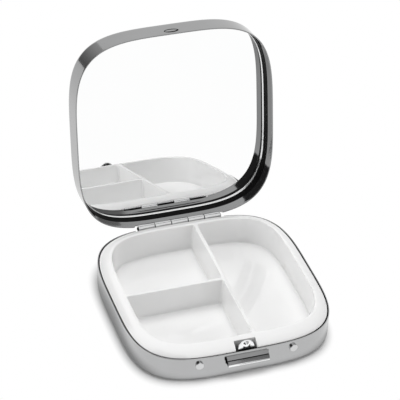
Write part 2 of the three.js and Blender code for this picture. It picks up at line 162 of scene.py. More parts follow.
class Graph:
    """A node tree that is written as calls and expressions."""

    def __init__(self, tree: bpy.types.NodeTree) -> None:
        """Empties the tree and keeps it."""
        tree.nodes.clear()
        self.tree = tree

    def node(
        self,
        kind: str,
        settings: dict[str, object] | None = None,
        sockets: dict[str | int, object] | None = None,
        out: str | int = 0,
    ) -> Value:
        """Adds a node.

        Args:
            kind: The node's type name.
            settings: Properties of the node, set before its sockets.
            sockets: Values or links of its inputs, by name or index.
            out: The output that is handed back.

        Returns:
            The chosen output, or an empty value for a node that has none.
        """
        made = self.tree.nodes.new(kind)
        for name, value in (settings or {}).items():
            setattr(made, name, value)
        for key, value in (sockets or {}).items():
            if isinstance(value, Value):
                self.tree.links.new(value.socket, made.inputs[key])
            else:
                made.inputs[key].default_value = value
        return Value(self, made.outputs[out] if made.outputs else None)

    def mixed(self, share: object, first: object, second: object) -> Value:
        """The first colour at share 0, the second one at share 1, or a colour between them."""
        return self.node("ShaderNodeMix", {"data_type": "RGBA"}, {0: share, 6: first, 7: second}, out=2)

    def eased(self, value: Value, low: float, high: float) -> Value:
        """A smooth step of a value from 0 at low to 1 at high."""
        span = {"Value": value, "From Min": low, "From Max": high}
        return self.node("ShaderNodeMapRange", {"interpolation_type": "SMOOTHSTEP"}, span)

    def noise(self, vector: Value, scale: float, detail: float = 2.0) -> Value:
        """Noise from 0 to 1 round a half."""
        return self.node("ShaderNodeTexNoise", None, {"Vector": vector, "Scale": scale, "Detail": detail})

    def place(self) -> Value:
        """The piece's own coordinates, in metres."""
        return self.node("ShaderNodeTexCoord", out="Object")

    def axes(self) -> Value:
        """The piece's own coordinates, with an output for each axis."""
        return self.node("ShaderNodeSeparateXYZ", None, {"Vector": self.place()})

    def grain(self, size: Triple, turn: float = 0.0) -> Value:
        """Coordinates in grain lengths, for a grain of one size along each axis, turned about X."""
        sockets = {"Vector": self.place(), "Rotation": (turn, 0.0, 0.0), "Scale": size}
        return self.node("ShaderNodeMapping", {"vector_type": "TEXTURE"}, sockets)

    def bump(self, height: Value, strength: float, distance: float) -> Value:
        """A normal that follows a height."""
        sockets = {"Strength": strength, "Distance": distance, "Height": height}
        return self.node("ShaderNodeBump", None, sockets)

    def principled(self, colour: Value, roughness: Value, others: dict[str, object]) -> Value:
        """The general shader, from its colour, its roughness and any other sockets."""
        sockets = {"Base Color": colour, "Roughness": roughness, **others}
        return self.node("ShaderNodeBsdfPrincipled", None, sockets)


def tone(grey: float, tint: Triple = (1.0, 1.0, 1.0)) -> tuple[float, ...]:
    """A grey with a slight tint, as a colour with alpha."""
    return tuple(grey * part for part in tint) + (1.0,)


@dataclass(frozen=True)
class Finish:
    """A surface finish that makes its own material."""

    name: str

    def make(self) -> Material:
        """Makes the finish.

        Returns:
            A new material.
        """
        material = bpy.data.materials.new(self.name)
        material.use_nodes = True
        graph = Graph(material.node_tree)
        graph.node("ShaderNodeOutputMaterial", None, {"Surface": self.surface(graph)})
        return material

    def surface(self, graph: Graph) -> Value:
        """The finish's shader."""
        raise NotImplementedError


@dataclass(frozen=True)
class PolishedMetal(Finish):
    """Plated sheet, polished along the wall so that faint lines stay."""

    grey: float = 0.5
    roughness: float = 0.11
    edge: float = 1.0
    turn: float = 0.0
    line_length: float = 14 * MM
    line_width: float = 0.22 * MM
    line_depth: float = 0.006 * MM
    line_strength: float = 0.5
    smear_scale: float = 160.0
    detail: float = 3.0
    dark: float = 0.93
    light: float = 1.05
    light_tint: Triple = (0.99, 1.0, 1.01)
    spread: float = 0.08

    def surface(self, graph: Graph) -> Value:
        """Metal with polishing lines, and smears from handling in its gloss and tone.

        Args:
            graph: The material's tree.

        Returns:
            The shader.
        """
        size = (self.line_length, self.line_length, self.line_width)
        lines = graph.noise(graph.grain(size, self.turn), 1.0, self.detail)
        smears = graph.noise(graph.place(), self.smear_scale, self.detail)
        light = tone(self.grey * self.light, self.light_tint)
        return graph.principled(
            graph.mixed(smears, tone(self.grey * self.dark), light),
            self.roughness + self.spread * (lines - 0.5) + self.spread * (smears - 0.5),
            {
                "Metallic": 1.0,
                "Specular Tint": tone(self.edge),
                "Normal": graph.bump(lines, self.line_strength, self.line_depth),
            },
        )


@dataclass(frozen=True)
class MirrorSilver(Finish):
    """Silvered glass that leans a little in its tape, with the faintest haze."""

    lean: Triple
    grey: float = 0.99
    roughness: float = 0.004
    haze_scale: float = 70.0
    haze_share: float = 0.99
    haze_tint: Triple = (0.995, 1.0, 1.0)
    haze_spread: float = 0.006

    def surface(self, graph: Graph) -> Value:
        """A clear reflection, slightly hazier in patches.

        Args:
            graph: The material's tree.

        Returns:
            The shader.
        """
        haze = graph.noise(graph.place(), self.haze_scale)
        slope = {0: graph.place(), 1: self.lean}
        height = graph.node("ShaderNodeVectorMath", {"operation": "DOT_PRODUCT"}, slope, out="Value")
        hazy = tone(self.grey * self.haze_share, self.haze_tint)
        return graph.principled(
            graph.mixed(haze, tone(self.grey), hazy),
            self.roughness + self.haze_spread * haze,
            {"Metallic": 1.0, "Normal": graph.bump(height, 1.0, 1.0)},
        )


@dataclass(frozen=True)
class BlackLacquer(Finish):
    """Thin black coating on the frame's wall, also on the hinge's pin as painted shade in the knuckles' open
    seams.
    """

    grey: float = 0.006
    roughness: float = 0.4
    index: float = 1.07
    cloud_scale: float = 240.0
    detail: float = 3.0
    dark: float = 0.8
    light: float = 1.3
    spread: float = 0.1

    def surface(self, graph: Graph) -> Value:
        """Near-black coat with faint cloudiness in its gloss.

        Args:
            graph: The material's tree.

        Returns:
            The shader.
        """
        clouds = graph.noise(graph.place(), self.cloud_scale, self.detail)
        return graph.principled(
            graph.mixed(clouds, tone(self.grey * self.dark), tone(self.grey * self.light)),
            self.roughness + self.spread * (clouds - 0.5),
            {"IOR": self.index},
        )


@dataclass(frozen=True)
class MouldedPlastic(Finish):
    """White injection-moulded plastic with a soft gloss."""

    grey: float = 0.87
    roughness: float = 0.03
    index: float = 1.8
    peel_scale: float = 900.0
    peel_depth: float = 0.001 * MM
    peel_strength: float = 0.4
    peel_spread: float = 0.02
    flow_size: Triple = (30 * MM, 9 * MM, 30 * MM)
    flow_share: float = 0.975
    flow_tint: Triple = (1.0, 1.0, 0.995)
    flow_spread: float = 0.04

    def surface(self, graph: Graph) -> Value:
        """Gloss plastic with a fine moulded skin and slight flow marks.

        Args:
            graph: The material's tree.

        Returns:
            The shader.
        """
        peel = graph.noise(graph.place(), self.peel_scale)
        flow = graph.noise(graph.grain(self.flow_size), 1.0)
        marked = tone(self.grey * self.flow_share, self.flow_tint)
        return graph.principled(
            graph.mixed(flow, tone(self.grey), marked),
            self.roughness + self.flow_spread * (flow - 0.5) + self.peel_spread * (peel - 0.5),
            {"IOR": self.index, "Normal": graph.bump(peel, self.peel_strength, self.peel_depth)},
        )


@dataclass(frozen=True)
class FoamTape(Finish):
    """Closed-cell foam tape."""

    grey: float = 0.7
    tint: Triple = (1.0, 0.99, 0.95)
    roughness: float = 0.85
    cell_scale: float = 2600.0
    cell_depth: float = 0.05 * MM
    cell_strength: float = 0.6
    cell_share: float = 0.85
    cell_spread: float = 0.1

    def surface(self, graph: Graph) -> Value:
        """Matt foam with small cells.

        Args:
            graph: The material's tree.

        Returns:
            The shader.
        """
        size = {"Vector": graph.place(), "Scale": self.cell_scale}
        cells = graph.node("ShaderNodeTexVoronoi", None, size)
        return graph.principled(
            graph.mixed(cells, tone(self.grey * self.cell_share), tone(self.grey, self.tint)),
            self.roughness + self.cell_spread * cells,
            {"Normal": graph.bump(cells, self.cell_strength, self.cell_depth)},
        )


class Draft:
    """Points and faces of one piece while it is put together."""

    def __init__(self) -> None:
        """Starts with nothing."""
        self.points: list[Vector] = []
        self.faces: list[tuple[int, ...]] = []
        self.kinds: list[int] = []
        self.webs: list[list[list[int]]] = []

    def ring(self, points: Iterable[Sequence[float]]) -> list[int]:
        """Adds points.

        Args:
            points: The points, in order.

        Returns:
            Their numbers.
        """
        start = len(self.points)
        self.points.extend(Vector(point) for point in points)
        return list(range(start, len(self.points)))

    def face(self, corners: Iterable[int], kind: int = 0) -> None:
        """Adds one face that takes material number kind."""
        self.faces.append(tuple(corners))
        self.kinds.append(kind)

    def bridge(self, first: list[int], second: list[int], kind: int = 0) -> None:
        """Joins two closed rings by quads.

        Args:
            first: One ring.
            second: The other one, with as many points.
            kind: Material number.
        """
        for i in range(len(first)):
            j = (i + 1) % len(first)
            self.face((first[i], first[j], second[j], second[i]), kind)

    def loft(self, rings: Sequence[list[int]], kind: int = 0) -> None:
        """Joins each ring to the next one."""
        for first, second in zip(rings, rings[1:]):
            self.bridge(first, second, kind)

    def fan(self, ring: list[int], apex: Sequence[float], kind: int = 0) -> None:
        """Closes a ring with triangles to one point.

        Args:
            ring: The ring.
            apex: The point.
            kind: Material number.
        """
        (top,) = self.ring([apex])
        for i, corner in enumerate(ring):
            self.face((corner, ring[(i + 1) % len(ring)], top), kind)

    def web(self, loops: list[list[int]]) -> None:
        """Remembers an outer loop and holes that a flat web fills."""
        self.webs.append(loops)

    def piece(
        self, name: str, materials: Sequence[Material] = (), place: Matrix = Matrix.Identity(4)
    ) -> Piece:
        """The finished piece, smooth but for its sharp edges.

        Args:
            name: The piece's name.
            materials: Its materials, in the order of the faces' kinds.
            place: Where the drawn shape goes in the frame.

        Returns:
            The new object, at the origin with its place in its mesh.
        """
        mesh = bpy.data.meshes.new(name)
        mesh.from_pydata(self.points, [], self.faces)
        mesh.polygons.foreach_set("material_index", self.kinds)
        work = bmesh.new()
        work.from_mesh(mesh)
        work.verts.ensure_lookup_table()
        for loops in self.webs:
            edges = []
            for loop in loops:
                corners = [work.verts[i] for i in loop]
                edges += [work.edges.get((a, b)) for a, b in zip(corners, corners[1:] + corners[:1])]
            bmesh.ops.triangle_fill(work, edges=edges, use_beauty=True)
        bmesh.ops.recalc_face_normals(work, faces=work.faces)
        work.transform(place)
        work.to_mesh(mesh)
        work.free()
        for material in materials:
            mesh.materials.append(material)
        smooth(mesh)
        made = bpy.data.objects.new(name, mesh)
        bpy.context.scene.collection.objects.link(made)
        return made


def smooth(mesh: bpy.types.Mesh) -> None:
    """Shades a mesh smooth between its sharp edges."""
    mesh.shade_smooth()
    mesh.set_sharp_from_angle(angle=SHARP_ANGLE)


def evaluated_mesh(piece: Piece) -> bpy.types.Mesh:
    """A plain mesh of a piece with its modifiers in effect."""
    return bpy.data.meshes.new_from_object(piece.evaluated_get(bpy.context.evaluated_depsgraph_get()))


def combine(piece: Piece, tool: Piece, operation: str) -> None:
    """Cuts a piece with a tool, or joins the two, and removes the tool.

    Args:
        piece: The piece that is changed.
        tool: The other solid.
        operation: DIFFERENCE or UNION.
    """
    modifier = piece.modifiers.new("work", "BOOLEAN")
    modifier.operation = operation
    modifier.solver = "EXACT"
    modifier.material_mode = "TRANSFER"
    modifier.object = tool
    old = piece.data
    name = old.name
    piece.data = evaluated_mesh(piece)
    piece.modifiers.remove(modifier)
    work = bmesh.new()
    work.from_mesh(piece.data)
    bmesh.ops.dissolve_degenerate(work, dist=WELD, edges=work.edges)
    work.to_mesh(piece.data)
    work.free()
    smooth(piece.data)
    bpy.data.meshes.remove(old)
    piece.data.name = name
    bpy.data.objects.remove(tool)


def cut(piece: Piece, *tools: Piece) -> None:
    """Cuts a piece with tools, one after the other."""
    for tool in tools:
        combine(piece, tool, "DIFFERENCE")


def join(piece: Piece, *others: Piece) -> None:
    """Joins other solids to a piece, one after the other."""
    for other in others:
        combine(piece, other, "UNION")


def arc(centre: Pair, radius: float, start: float, end: float, steps: int) -> Profile:
    """Points on an arc.

    Args:
        centre: The arc's middle.
        radius: Its radius.
        start: The first angle, in degrees.
        end: The last angle, in degrees.
        steps: How many steps lie between them.

    Returns:
        The points from start to end.
    """
    angles = np.radians(np.linspace(start, end, steps + 1))
    return [(centre[0] + radius * math.cos(a), centre[1] + radius * math.sin(a)) for a in angles]


def step(share: float) -> float:
    """A smooth step from 0 to 1."""
    held = min(max(share, 0.0), 1.0)
    return held * held * (3.0 - 2.0 * held)


def curve(start: Pair, control: Pair, end: Pair, steps: int) -> Profile:
    """Points on a curve that leaves and arrives towards one control point.

    Args:
        start: The first point.
        control: The point that both ends aim at.
        end: The last point.
        steps: How many steps lie between them.

    Returns:
        The points from start to end.
    """
    points = []
    for t in np.linspace(0.0, 1.0, steps + 1):
        first, second, third = (1 - t) ** 2, 2 * t * (1 - t), t**2
        points.append(tuple(first * a + second * b + third * c for a, b, c in zip(start, control, end)))
    return points


@dataclass(frozen=True)
class Plan:
    """The rounded square that shells, rims and sheets follow, squarer than an ellipse."""

    half: float
    power: float = 3.85
    least_share: float = 0.75

    def power_at(self, half: float) -> float:
        """The power at which a narrower outline keeps its distance from the plan at the corners too.

        Args:
            half: Half the outline's width.

        Returns:
            The outline's power.
        """
        near = max(half, self.least_share * self.half)
        corner = self.half * 2 ** (0.5 - 1 / self.power) - (self.half - near)
        return 1 / (0.5 - math.log2(corner / near))

    def reach(self, x: float, y: float, half: float) -> float:
        """Half the width of the outline through a point, shaped as outlines of width half are."""
        power = self.power_at(half)
        return (np.abs(x) ** power + np.abs(y) ** power) ** (1 / power)

    def ring(self, half: float, height: float, count: int = PLAN_COUNT) -> list[Vector]:
        """Points round the plan.

        Args:
            half: Half the width of this ring.
            height: Its height.
            count: How many points it has.

        Returns:
            The ring's points.
        """
        points = []
        for angle in np.linspace(0.0, 2 * math.pi, count, endpoint=False):
            x, y = math.cos(angle), math.sin(angle)
            scale = half / self.reach(x, y, half)
            points.append(Vector((x * scale, y * scale, height)))
        return points

    def depth(self, x: float, half: float) -> float:
        """Distance from the middle line to a straight side at a place x along it."""
        power = self.power_at(half)
        return (half**power - abs(x) ** power) ** (1 / power)


def lathe(
    plan: Plan, profile: Sequence[Pair], draft: Draft, count: int = PLAN_COUNT, kind: int = 0
) -> list[list[int]]:
    """Carries a profile of half width and height round the plan.

    Args:
        plan: The outline.
        profile: The section's points.
        draft: Where the rings go.
        count: Points in a ring.
        kind: Material number.

    Returns:
        The rings, in the profile's order.
    """
    rings = [draft.ring(plan.ring(half, height, count)) for half, height in profile]
    draft.loft(rings, kind)
    return rings


def bar(
    name: str,
    section: Sequence[Pair],
    stops: Sequence[float],
    place: Placing,
    materials: Sequence[Material] = (),
) -> Piece:
    """A closed bar of one section.

    Args:
        name: The bar's name.
        section: Its outline.
        stops: Places along its length that have a ring of points, from one end to the other.
        place: Turns two section coordinates and a place along the bar into a point.
        materials: Its finish, which a cutting bar leaves on what it cuts.

    Returns:
        The bar.
    """
    draft = Draft()
    rings = [draft.ring(place(u, v, stop) for u, v in section) for stop in stops]
    draft.loft(rings)
    draft.face(rings[0])
    draft.face(rings[-1])
    return draft.piece(name, materials)


def block(name: str, low: Triple, high: Triple, materials: Sequence[Material] = ()) -> Piece:
    """A closed block between its lowest and its highest corner."""
    section = [(low[0], low[1]), (high[0], low[1]), (high[0], high[1]), (low[0], high[1])]
    return bar(name, section, (low[2], high[2]), lambda x, y, z: (x, y, z), materials)


def spun(profile: Sequence[Pair], place: Placing, count: int = 24) -> Draft:
    """A closed turned solid.

    Args:
        profile: Radius and place along the axis, from one end to the other.
        place: Turns two coordinates across the axis and one along it into a point.
        count: Points in a ring.

    Returns:
        The drafted solid.
    """
    draft = Draft()
    rings = []
    for radius, along in profile:
        turn = arc((0.0, 0.0), radius, 0, 360 * (1 - 1 / count), count - 1)
        rings.append(draft.ring(place(u, v, along) for u, v in turn))
    draft.loft(rings)
    draft.fan(rings[0], place(0.0, 0.0, profile[0][1]))
    draft.fan(rings[-1], place(0.0, 0.0, profile[-1][1]))
    return draft


def both_ends(half: Profile) -> Profile:
    """A turned profile that ends as it starts."""
    return half + [(radius, -along) for radius, along in reversed(half)]


@dataclass(frozen=True)
class BoxFrame:
    """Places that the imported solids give, and sizes that several pieces share."""

    plan: Plan
    rim: float
    axis: Vector
    open_angle: float
    rim_gap: float = 0.2 * MM
    sheet: float = 0.45 * MM
    lid_sheet: float = 0.31 * MM
    rivet_spacing: float = 25.2 * MM
    rivet_height: float = 5.3 * MM
    room_radius: float = 1.15 * MM
    room_reach: float = 12.9 * MM
    room_bevel: float = 0.75
    room_end: float = 0.3

    @classmethod
    def from_frame(cls) -> "BoxFrame":
        """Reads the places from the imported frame.

        Returns:
            The shared places and sizes.
        """
        _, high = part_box("base_shell")
        hinge = next(joint for joint in frame["joints"] if joint["name"] == "lid_hinge")
        return cls(Plan(high.x), high.z, Vector(hinge["pos_m"]), math.radians(hinge["range_deg"][1]))

    @property
    def half(self) -> float:
        """Half the box's width."""
        return self.plan.half

    @property
    def inner(self) -> float:
        """Half the width inside the walls."""
        return self.half - self.sheet

    @property
    def lid_rim(self) -> float:
        """Height of the shut lid's rim."""
        return self.rim + self.rim_gap

    @property
    def opened(self) -> Matrix:
        """Turns what is drawn in the shut lid to where the open lid stands."""
        turn = Matrix.Rotation(-self.open_angle, 4, "X")
        return Matrix.Translation(self.axis) @ turn @ Matrix.Translation(-self.axis)

    def on_axis(self, u: float, v: float, along: float) -> Triple:
        """A point at two distances across the hinge's axis and one along it."""
        return (along, self.axis.y + u, self.axis.z + v)

    def barrel_room(self) -> Piece:
        """The round room for the hinge's barrel in a rear wall.

        Returns:
            A cutting bar with bevelled ends.
        """
        radius, reach = self.room_radius, self.room_reach
        half = [(self.room_end * radius, -reach), (radius, self.room_bevel * radius - reach)]
        return spun(both_ends(half), self.on_axis).piece("barrel_room")


@dataclass
class Wardrobe:
    """The materials, one of each finish."""

    open_angle: float
    mirror_lean: Pair = (-0.0167, 0.0172)
    metal: Material = field(init=False)
    lid_metal: Material = field(init=False)
    lid_inside: Material = field(init=False)
    inside: Material = field(init=False)
    plated: Material = field(init=False)
    brushed: Material = field(init=False)
    bright: Material = field(init=False)
    lacquer: Material = field(init=False)
    steel: Material = field(init=False)
    plastic: Material = field(init=False)
    mirror: Material = field(init=False)
    tape: Material = field(init=False)

    def __post_init__(self) -> None:
        """Makes every material."""
        turn = -self.open_angle
        self.metal = PolishedMetal("polished_base", grey=0.47).make()
        self.lid_metal = PolishedMetal("polished_lid", grey=0.31, roughness=0.09, turn=turn).make()
        self.lid_inside = PolishedMetal("lid_inside", grey=0.32, roughness=0.09, edge=0.45, turn=turn).make()
        # Near-black metal as painted shade: the base shell's inside, the base's hinge leaf, the catch plate
        # and the slot's walls
        self.inside = PolishedMetal("unpolished_inside", grey=0.1, roughness=0.45).make()
        self.plated = PolishedMetal("plated_parts", grey=0.65, roughness=0.09).make()
        self.brushed = PolishedMetal(
            "brushed_button", grey=0.27, roughness=0.2, line_length=5 * MM, line_width=0.12 * MM
        ).make()
        self.bright = PolishedMetal("bright_plating", grey=0.95, roughness=0.12, line_depth=0.0).make()
        self.lacquer = BlackLacquer("black_coating").make()
        self.steel = PolishedMetal("drawn_steel", grey=0.42, roughness=0.3).make()
        self.plastic = MouldedPlastic("moulded_white").make()
        aside, back = self.mirror_lean
        across = Vector((0.0, math.cos(self.open_angle), -math.sin(self.open_angle)))
        lean = aside * Vector((1.0, 0.0, 0.0)) + back * across
        self.mirror = MirrorSilver("mirror_silver", lean=tuple(lean)).make()
        self.tape = FoamTape("foam_tape").make()


def settle(piece: Piece, body: Body, slot: Slot, *nodes: str) -> None:
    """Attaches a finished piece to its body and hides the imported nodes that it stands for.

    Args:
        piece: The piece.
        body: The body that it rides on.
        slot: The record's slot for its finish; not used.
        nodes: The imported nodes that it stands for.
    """
    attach(piece, body.value)
    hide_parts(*nodes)
    LOG.info("%s rides on %s, %d faces", piece.name, body.value, len(piece.data.polygons))


@dataclass
class Shell:
    """A pressed shell: base or lid."""

    box: BoxFrame
    height: float
    edge_radius: float
    rim: float
    sheet: float
    crown: float = 0.0
    rim_round: float = 0.1 * MM
    thinned: float = 1.0 * MM
    crown_shares: tuple[float, ...] = (0.15, 0.35, 0.55, 0.75, 0.88)
    wall_shares: tuple[float, ...] = (0.05, 0.5, 0.95)
    floor_shares: tuple[float, ...] = (0.85, 0.4)

    def outside(self) -> Profile:
        """The section from the middle of the outside over the rim to its inner edge.

        Returns:
            Half widths and heights.
        """
        half, radius, soft = self.box.half, self.edge_radius, self.rim_round
        profile = [(half * share, self.crown * (share**2 - 1)) for share in self.crown_shares]
        profile += arc((half - radius, radius), radius, -90, 0, 8)
        top = self.height - soft
        profile += [(half, radius + (top - radius) * share) for share in self.wall_shares]
        profile += arc((half - soft, top), soft, 0, 90, 4)
        return profile + arc((half - self.rim + soft, top), soft, 90, 180, 4)

    def inside(self) -> Profile:
        """The section from below the rim to the middle of the inside.

        Returns:
            Half widths and heights.
        """
        inner, radius = self.box.half - self.sheet, self.edge_radius - self.sheet
        profile = [(inner, self.height - self.thinned), (inner, self.edge_radius + self.sheet)]
        profile += arc((inner - radius, self.edge_radius), radius, 0, -90, 6)
        return profile + [(inner * share, self.sheet) for share in self.floor_shares]

    def build(self, name: str, outside: Material, inside: Material, place: Matrix) -> Piece:
        """The bare shell, before it is cut.

        Args:
            name: The piece's name.
            outside: Finish of the outside and the rim.
            inside: Finish of the inside.
            place: Where the shell goes.

        Returns:
            The shell.
        """
        draft = Draft()
        outer = lathe(self.box.plan, self.outside(), draft)
        inner = lathe(self.box.plan, self.inside(), draft, kind=1)
        draft.bridge(outer[-1], inner[0], 1)
        draft.fan(outer[0], (0.0, 0.0, -self.crown))
        draft.fan(inner[-1], (0.0, 0.0, self.sheet), 1)
        return draft.piece(name, [outside, inside], place)


@dataclass
class Base:
    """The base shell with its window, rivet holes and room for the hinge."""

    box: BoxFrame
    wear: Wardrobe
    edge_radius: float = 1.2 * MM
    rim: float = 0.24 * MM
    window_half: float = 5.75 * MM
    window_low: float = 4.3 * MM
    window_high: float = 6.62 * MM
    window_corner: float = 0.3 * MM
    window_end: float = 0.9
    rivet_hole: float = 0.62 * MM
    hole_end: float = 0.85

    def build(self) -> None:
        shell = Shell(self.box, self.box.rim, self.edge_radius, self.rim, self.box.sheet)
        # The shell's inside takes the near-black metal, painted shade in the gap round the tray
        piece = shell.build("base_shell_pressing", self.wear.metal, self.wear.inside, Matrix.Identity(4))
        cut(piece, self.window(), self.hole(-1), self.hole(1), self.box.barrel_room())
        settle(piece, Body.BASE, Slot.METAL, "base_shell")

    def window(self) -> Piece:
        """The rounded opening for the button.

        Returns:
            The cutting bar.
        """
        corner = self.window_corner
        side, low, high = self.window_half - corner, self.window_low + corner, self.window_high - corner
        section = []
        for quarter, centre in enumerate(((side, low), (side, high), (-side, high), (-side, low))):
            start = 90 * (quarter - 1)
            section += arc(centre, corner, start, start + 90, 4)
        ends = (-BEYOND * self.box.half, -self.window_end * self.box.half)
        return bar("button_window", section, ends, lambda x, z, y: (x, y, z))

    def hole(self, side: int) -> Piece:
        """The hole for one rivet.

        Args:
            side: -1 for the left rivet, 1 for the right one.

        Returns:
            The cutting bar.
        """
        middle = side * self.box.rivet_spacing / 2
        ends = [(self.rivet_hole, -share * self.box.half) for share in (BEYOND, self.hole_end)]
        turned = spun(ends, lambda x, z, y: (middle + x, y, self.box.rivet_height + z))
        return turned.piece("rivet_hole")


@dataclass(frozen=True)
class Well:
    """One compartment: the tray's opening on one side of some straight walls."""

    centre: Pair
    walls: tuple[Triple, ...]
    halvings: int = 48

    def outline(self, plan: Plan, half: float, inset: float, corner: float, count: int) -> Profile:
        """The compartment's outline with rounded corners.

        Args:
            plan: The tray's plan.
            half: Half width of the opening.
            inset: How far inside the walls the outline runs.
            corner: Radius of its corners.
            count: How many points it has.

        Returns:
            The outline's points, counter-clockwise.
        """
        angles = np.linspace(0.0, 2 * math.pi, count, endpoint=False)
        near, far = np.zeros(count), np.full(count, 2 * half)
        round_off = corner + inset
        for _ in range(self.halvings):
            middle = (near + far) / 2
            x = self.centre[0] + middle * np.cos(angles)
            y = self.centre[1] + middle * np.sin(angles)
            outs = [plan.reach(x, y, half) - half]
            outs += [nx * x + ny * y - offset for nx, ny, offset in self.walls]
            corner_part = np.sqrt(sum(np.maximum(out + round_off, 0.0) ** 2 for out in outs))
            outside = np.minimum(np.max(outs, axis=0), -round_off) + corner_part > -inset
            near, far = np.where(outside, near, middle), np.where(outside, middle, far)
        x, y = self.centre
        return [(x + r * math.cos(a), y + r * math.sin(a)) for r, a in zip(near, angles)]


@dataclass
class Tray:
    """The white moulding: sloping rim, three compartments, and recesses for catch and hinge."""

    box: BoxFrame
    wear: Wardrobe
    clearance: float = 0.11 * MM
    opening: float = 23.75 * MM
    drawn_in: float = 0.025
    crest_rise: float = 1.95 * MM
    crest_width: float = 0.6 * MM
    slope_bulge: float = 0.4 * MM
    wall: float = 1.0 * MM
    wall_draft: float = 0.42 * MM
    floor: float = 1.5 * MM
    underside: float = 0.65 * MM
    edge_round: float = 0.22 * MM
    floor_round: float = 0.35 * MM
    corner_round: float = 0.45 * MM
    lip_drop: float = 0.7 * MM
    flange: float = 0.3 * MM
    undercut: float = 0.4 * MM
    divider_x: float = 3.1 * MM
    divider_y: float = -0.5 * MM
    divider_half: float = 0.5 * MM
    divider_drop: float = 0.15 * MM
    drop_from: float = 23.0 * MM
    drop_to: float = 20.5 * MM
    recess_half: float = 2.9 * MM
    recess_back: float = 24.75 * MM
    catch_reach: float = 7.2 * MM
    hinge_reach: float = 12.5 * MM
    hinge_from: float = 26.2 * MM
    rim_count: int = 384
    well_count: int = 256

    @property
    def crest(self) -> float:
        """Height of the rim's crest."""
        return self.box.rim + self.crest_rise

    @property
    def crest_half(self) -> float:
        """Half the width of the crest's outer edge."""
        return self.opening + self.crest_width

    @property
    def outer(self) -> float:
        """Half the width of the rim."""
        return self.box.inner - self.clearance

    def wells(self) -> list[Well]:
        """The three compartments, one long on the right and two short on the left.

        Returns:
            Rear left, front left and right.
        """
        flat = self.divider_half - self.edge_round
        left, right = self.divider_x - flat, self.divider_x + flat
        front, rear = self.divider_y - flat, self.divider_y + flat
        reach = self.opening / 2
        return [
            Well(((left - self.opening) / 2, rear + reach), ((1, 0, left), (0, -1, -rear))),
            Well(((left - self.opening) / 2, front - reach), ((1, 0, left), (0, 1, front))),
            Well(((right + self.opening) / 2, 0.0), ((-1, 0, -right),)),
        ]

    def well_profile(self) -> Profile:
        """The section from the rounded top edge down the wall to the floor.

        Returns:
            Insets and heights.
        """
        edge, foot = self.edge_round, self.floor_round
        profile = arc((0.0, self.crest - edge), edge, 90, 0, 5)
        profile += [(edge + self.wall_draft * 0.5, (self.crest + self.floor) / 2)]
        inset = edge + self.wall_draft
        return profile + arc((inset + foot, self.floor + foot), foot, 180, 270, 7)

    def rim_profile(self) -> Profile:
        """The section from the crest down the slope, round the lip and under the tray.

        Returns:
            Half widths and heights.
        """
        crest = self.crest_half
        rim, flange = self.box.rim, self.box.rim - self.flange
        middle = ((self.outer + crest) / 2, (rim + self.crest) / 2)
        control = (middle[0] + self.slope_bulge, middle[1] + self.slope_bulge)
        profile = curve((crest, self.crest), control, (self.outer, rim), 12)
        profile += [(self.outer, rim - self.flange / 2)]
        well, lip = self.opening + self.wall, self.outer - self.undercut
        profile += [(lip, flange - self.undercut), (lip, flange - self.lip_drop)]
        profile += [(lip - self.wall, flange - self.lip_drop), (lip - self.wall, flange), (well, flange)]
        foot, turn = well - self.wall_draft, 2 * self.wall
        return profile + arc((foot - turn, self.underside + turn), turn, 0, -90, 5)

    def build(self) -> None:
        draft = Draft()
        rings = lathe(self.box.plan, self.rim_profile(), draft, self.rim_count)
        draft.fan(rings[-1], (0.0, 0.0, self.underside))
        loops = [rings[0]]
        half = self.opening + self.edge_round
        for well in self.wells():
            rings = []
            for inset, height in self.well_profile():
                flat = well.outline(self.box.plan, half, inset, self.corner_round, self.well_count)
                rings.append(draft.ring((x, y, height) for x, y in flat))
            draft.loft(rings)
            draft.fan(rings[-1], (*well.centre, self.floor))
            loops.append(rings[0])
        draft.web(loops)
        self.ease(draft)
        piece = draft.piece("pill_tray_moulding", [self.wear.plastic])
        cut(piece, *self.recesses())
        settle(piece, Body.BASE, Slot.PLASTIC, "pill_tray")

    def ease(self, draft: Draft) -> None:
        """Lets the dividers dip below the crest, and draws the wells in at the hinge and the catch.

        Args:
            draft: The tray's points, which move.
        """
        crest = self.crest_half
        for point in draft.points:
            out = float(self.box.plan.reach(point.x, point.y, self.opening))
            lift = max(point.z - self.floor, 0.0) / (self.crest - self.floor)
            dip = step((self.drop_from - out) / (self.drop_from - self.drop_to))
            point.z -= self.divider_drop * lift * dip
            point.y *= 1.0 - self.drawn_in * step((self.outer - out) / (self.outer - crest))

    def recesses(self) -> list[Piece]:
        """Room for the tongue, for the hinge's barrel and for the rest of the catch.

        Returns:
            The cutting blocks, in this order.
        """
        far, back, high = BEYOND * self.box.half, -self.recess_back, 2 * self.crest
        tongue, catch, hinge = self.recess_half, self.catch_reach, self.hinge_reach
        under_lip = self.box.rim - self.flange - self.undercut / 2
        return [
            block("tongue_recess", (-tongue, -far, self.underside), (tongue, back, high)),
            block("hinge_bay", (-hinge, self.hinge_from, 0.0), (hinge, far, high)),
            block("catch_room", (-catch, -far, self.underside), (catch, back, under_lip)),
        ]


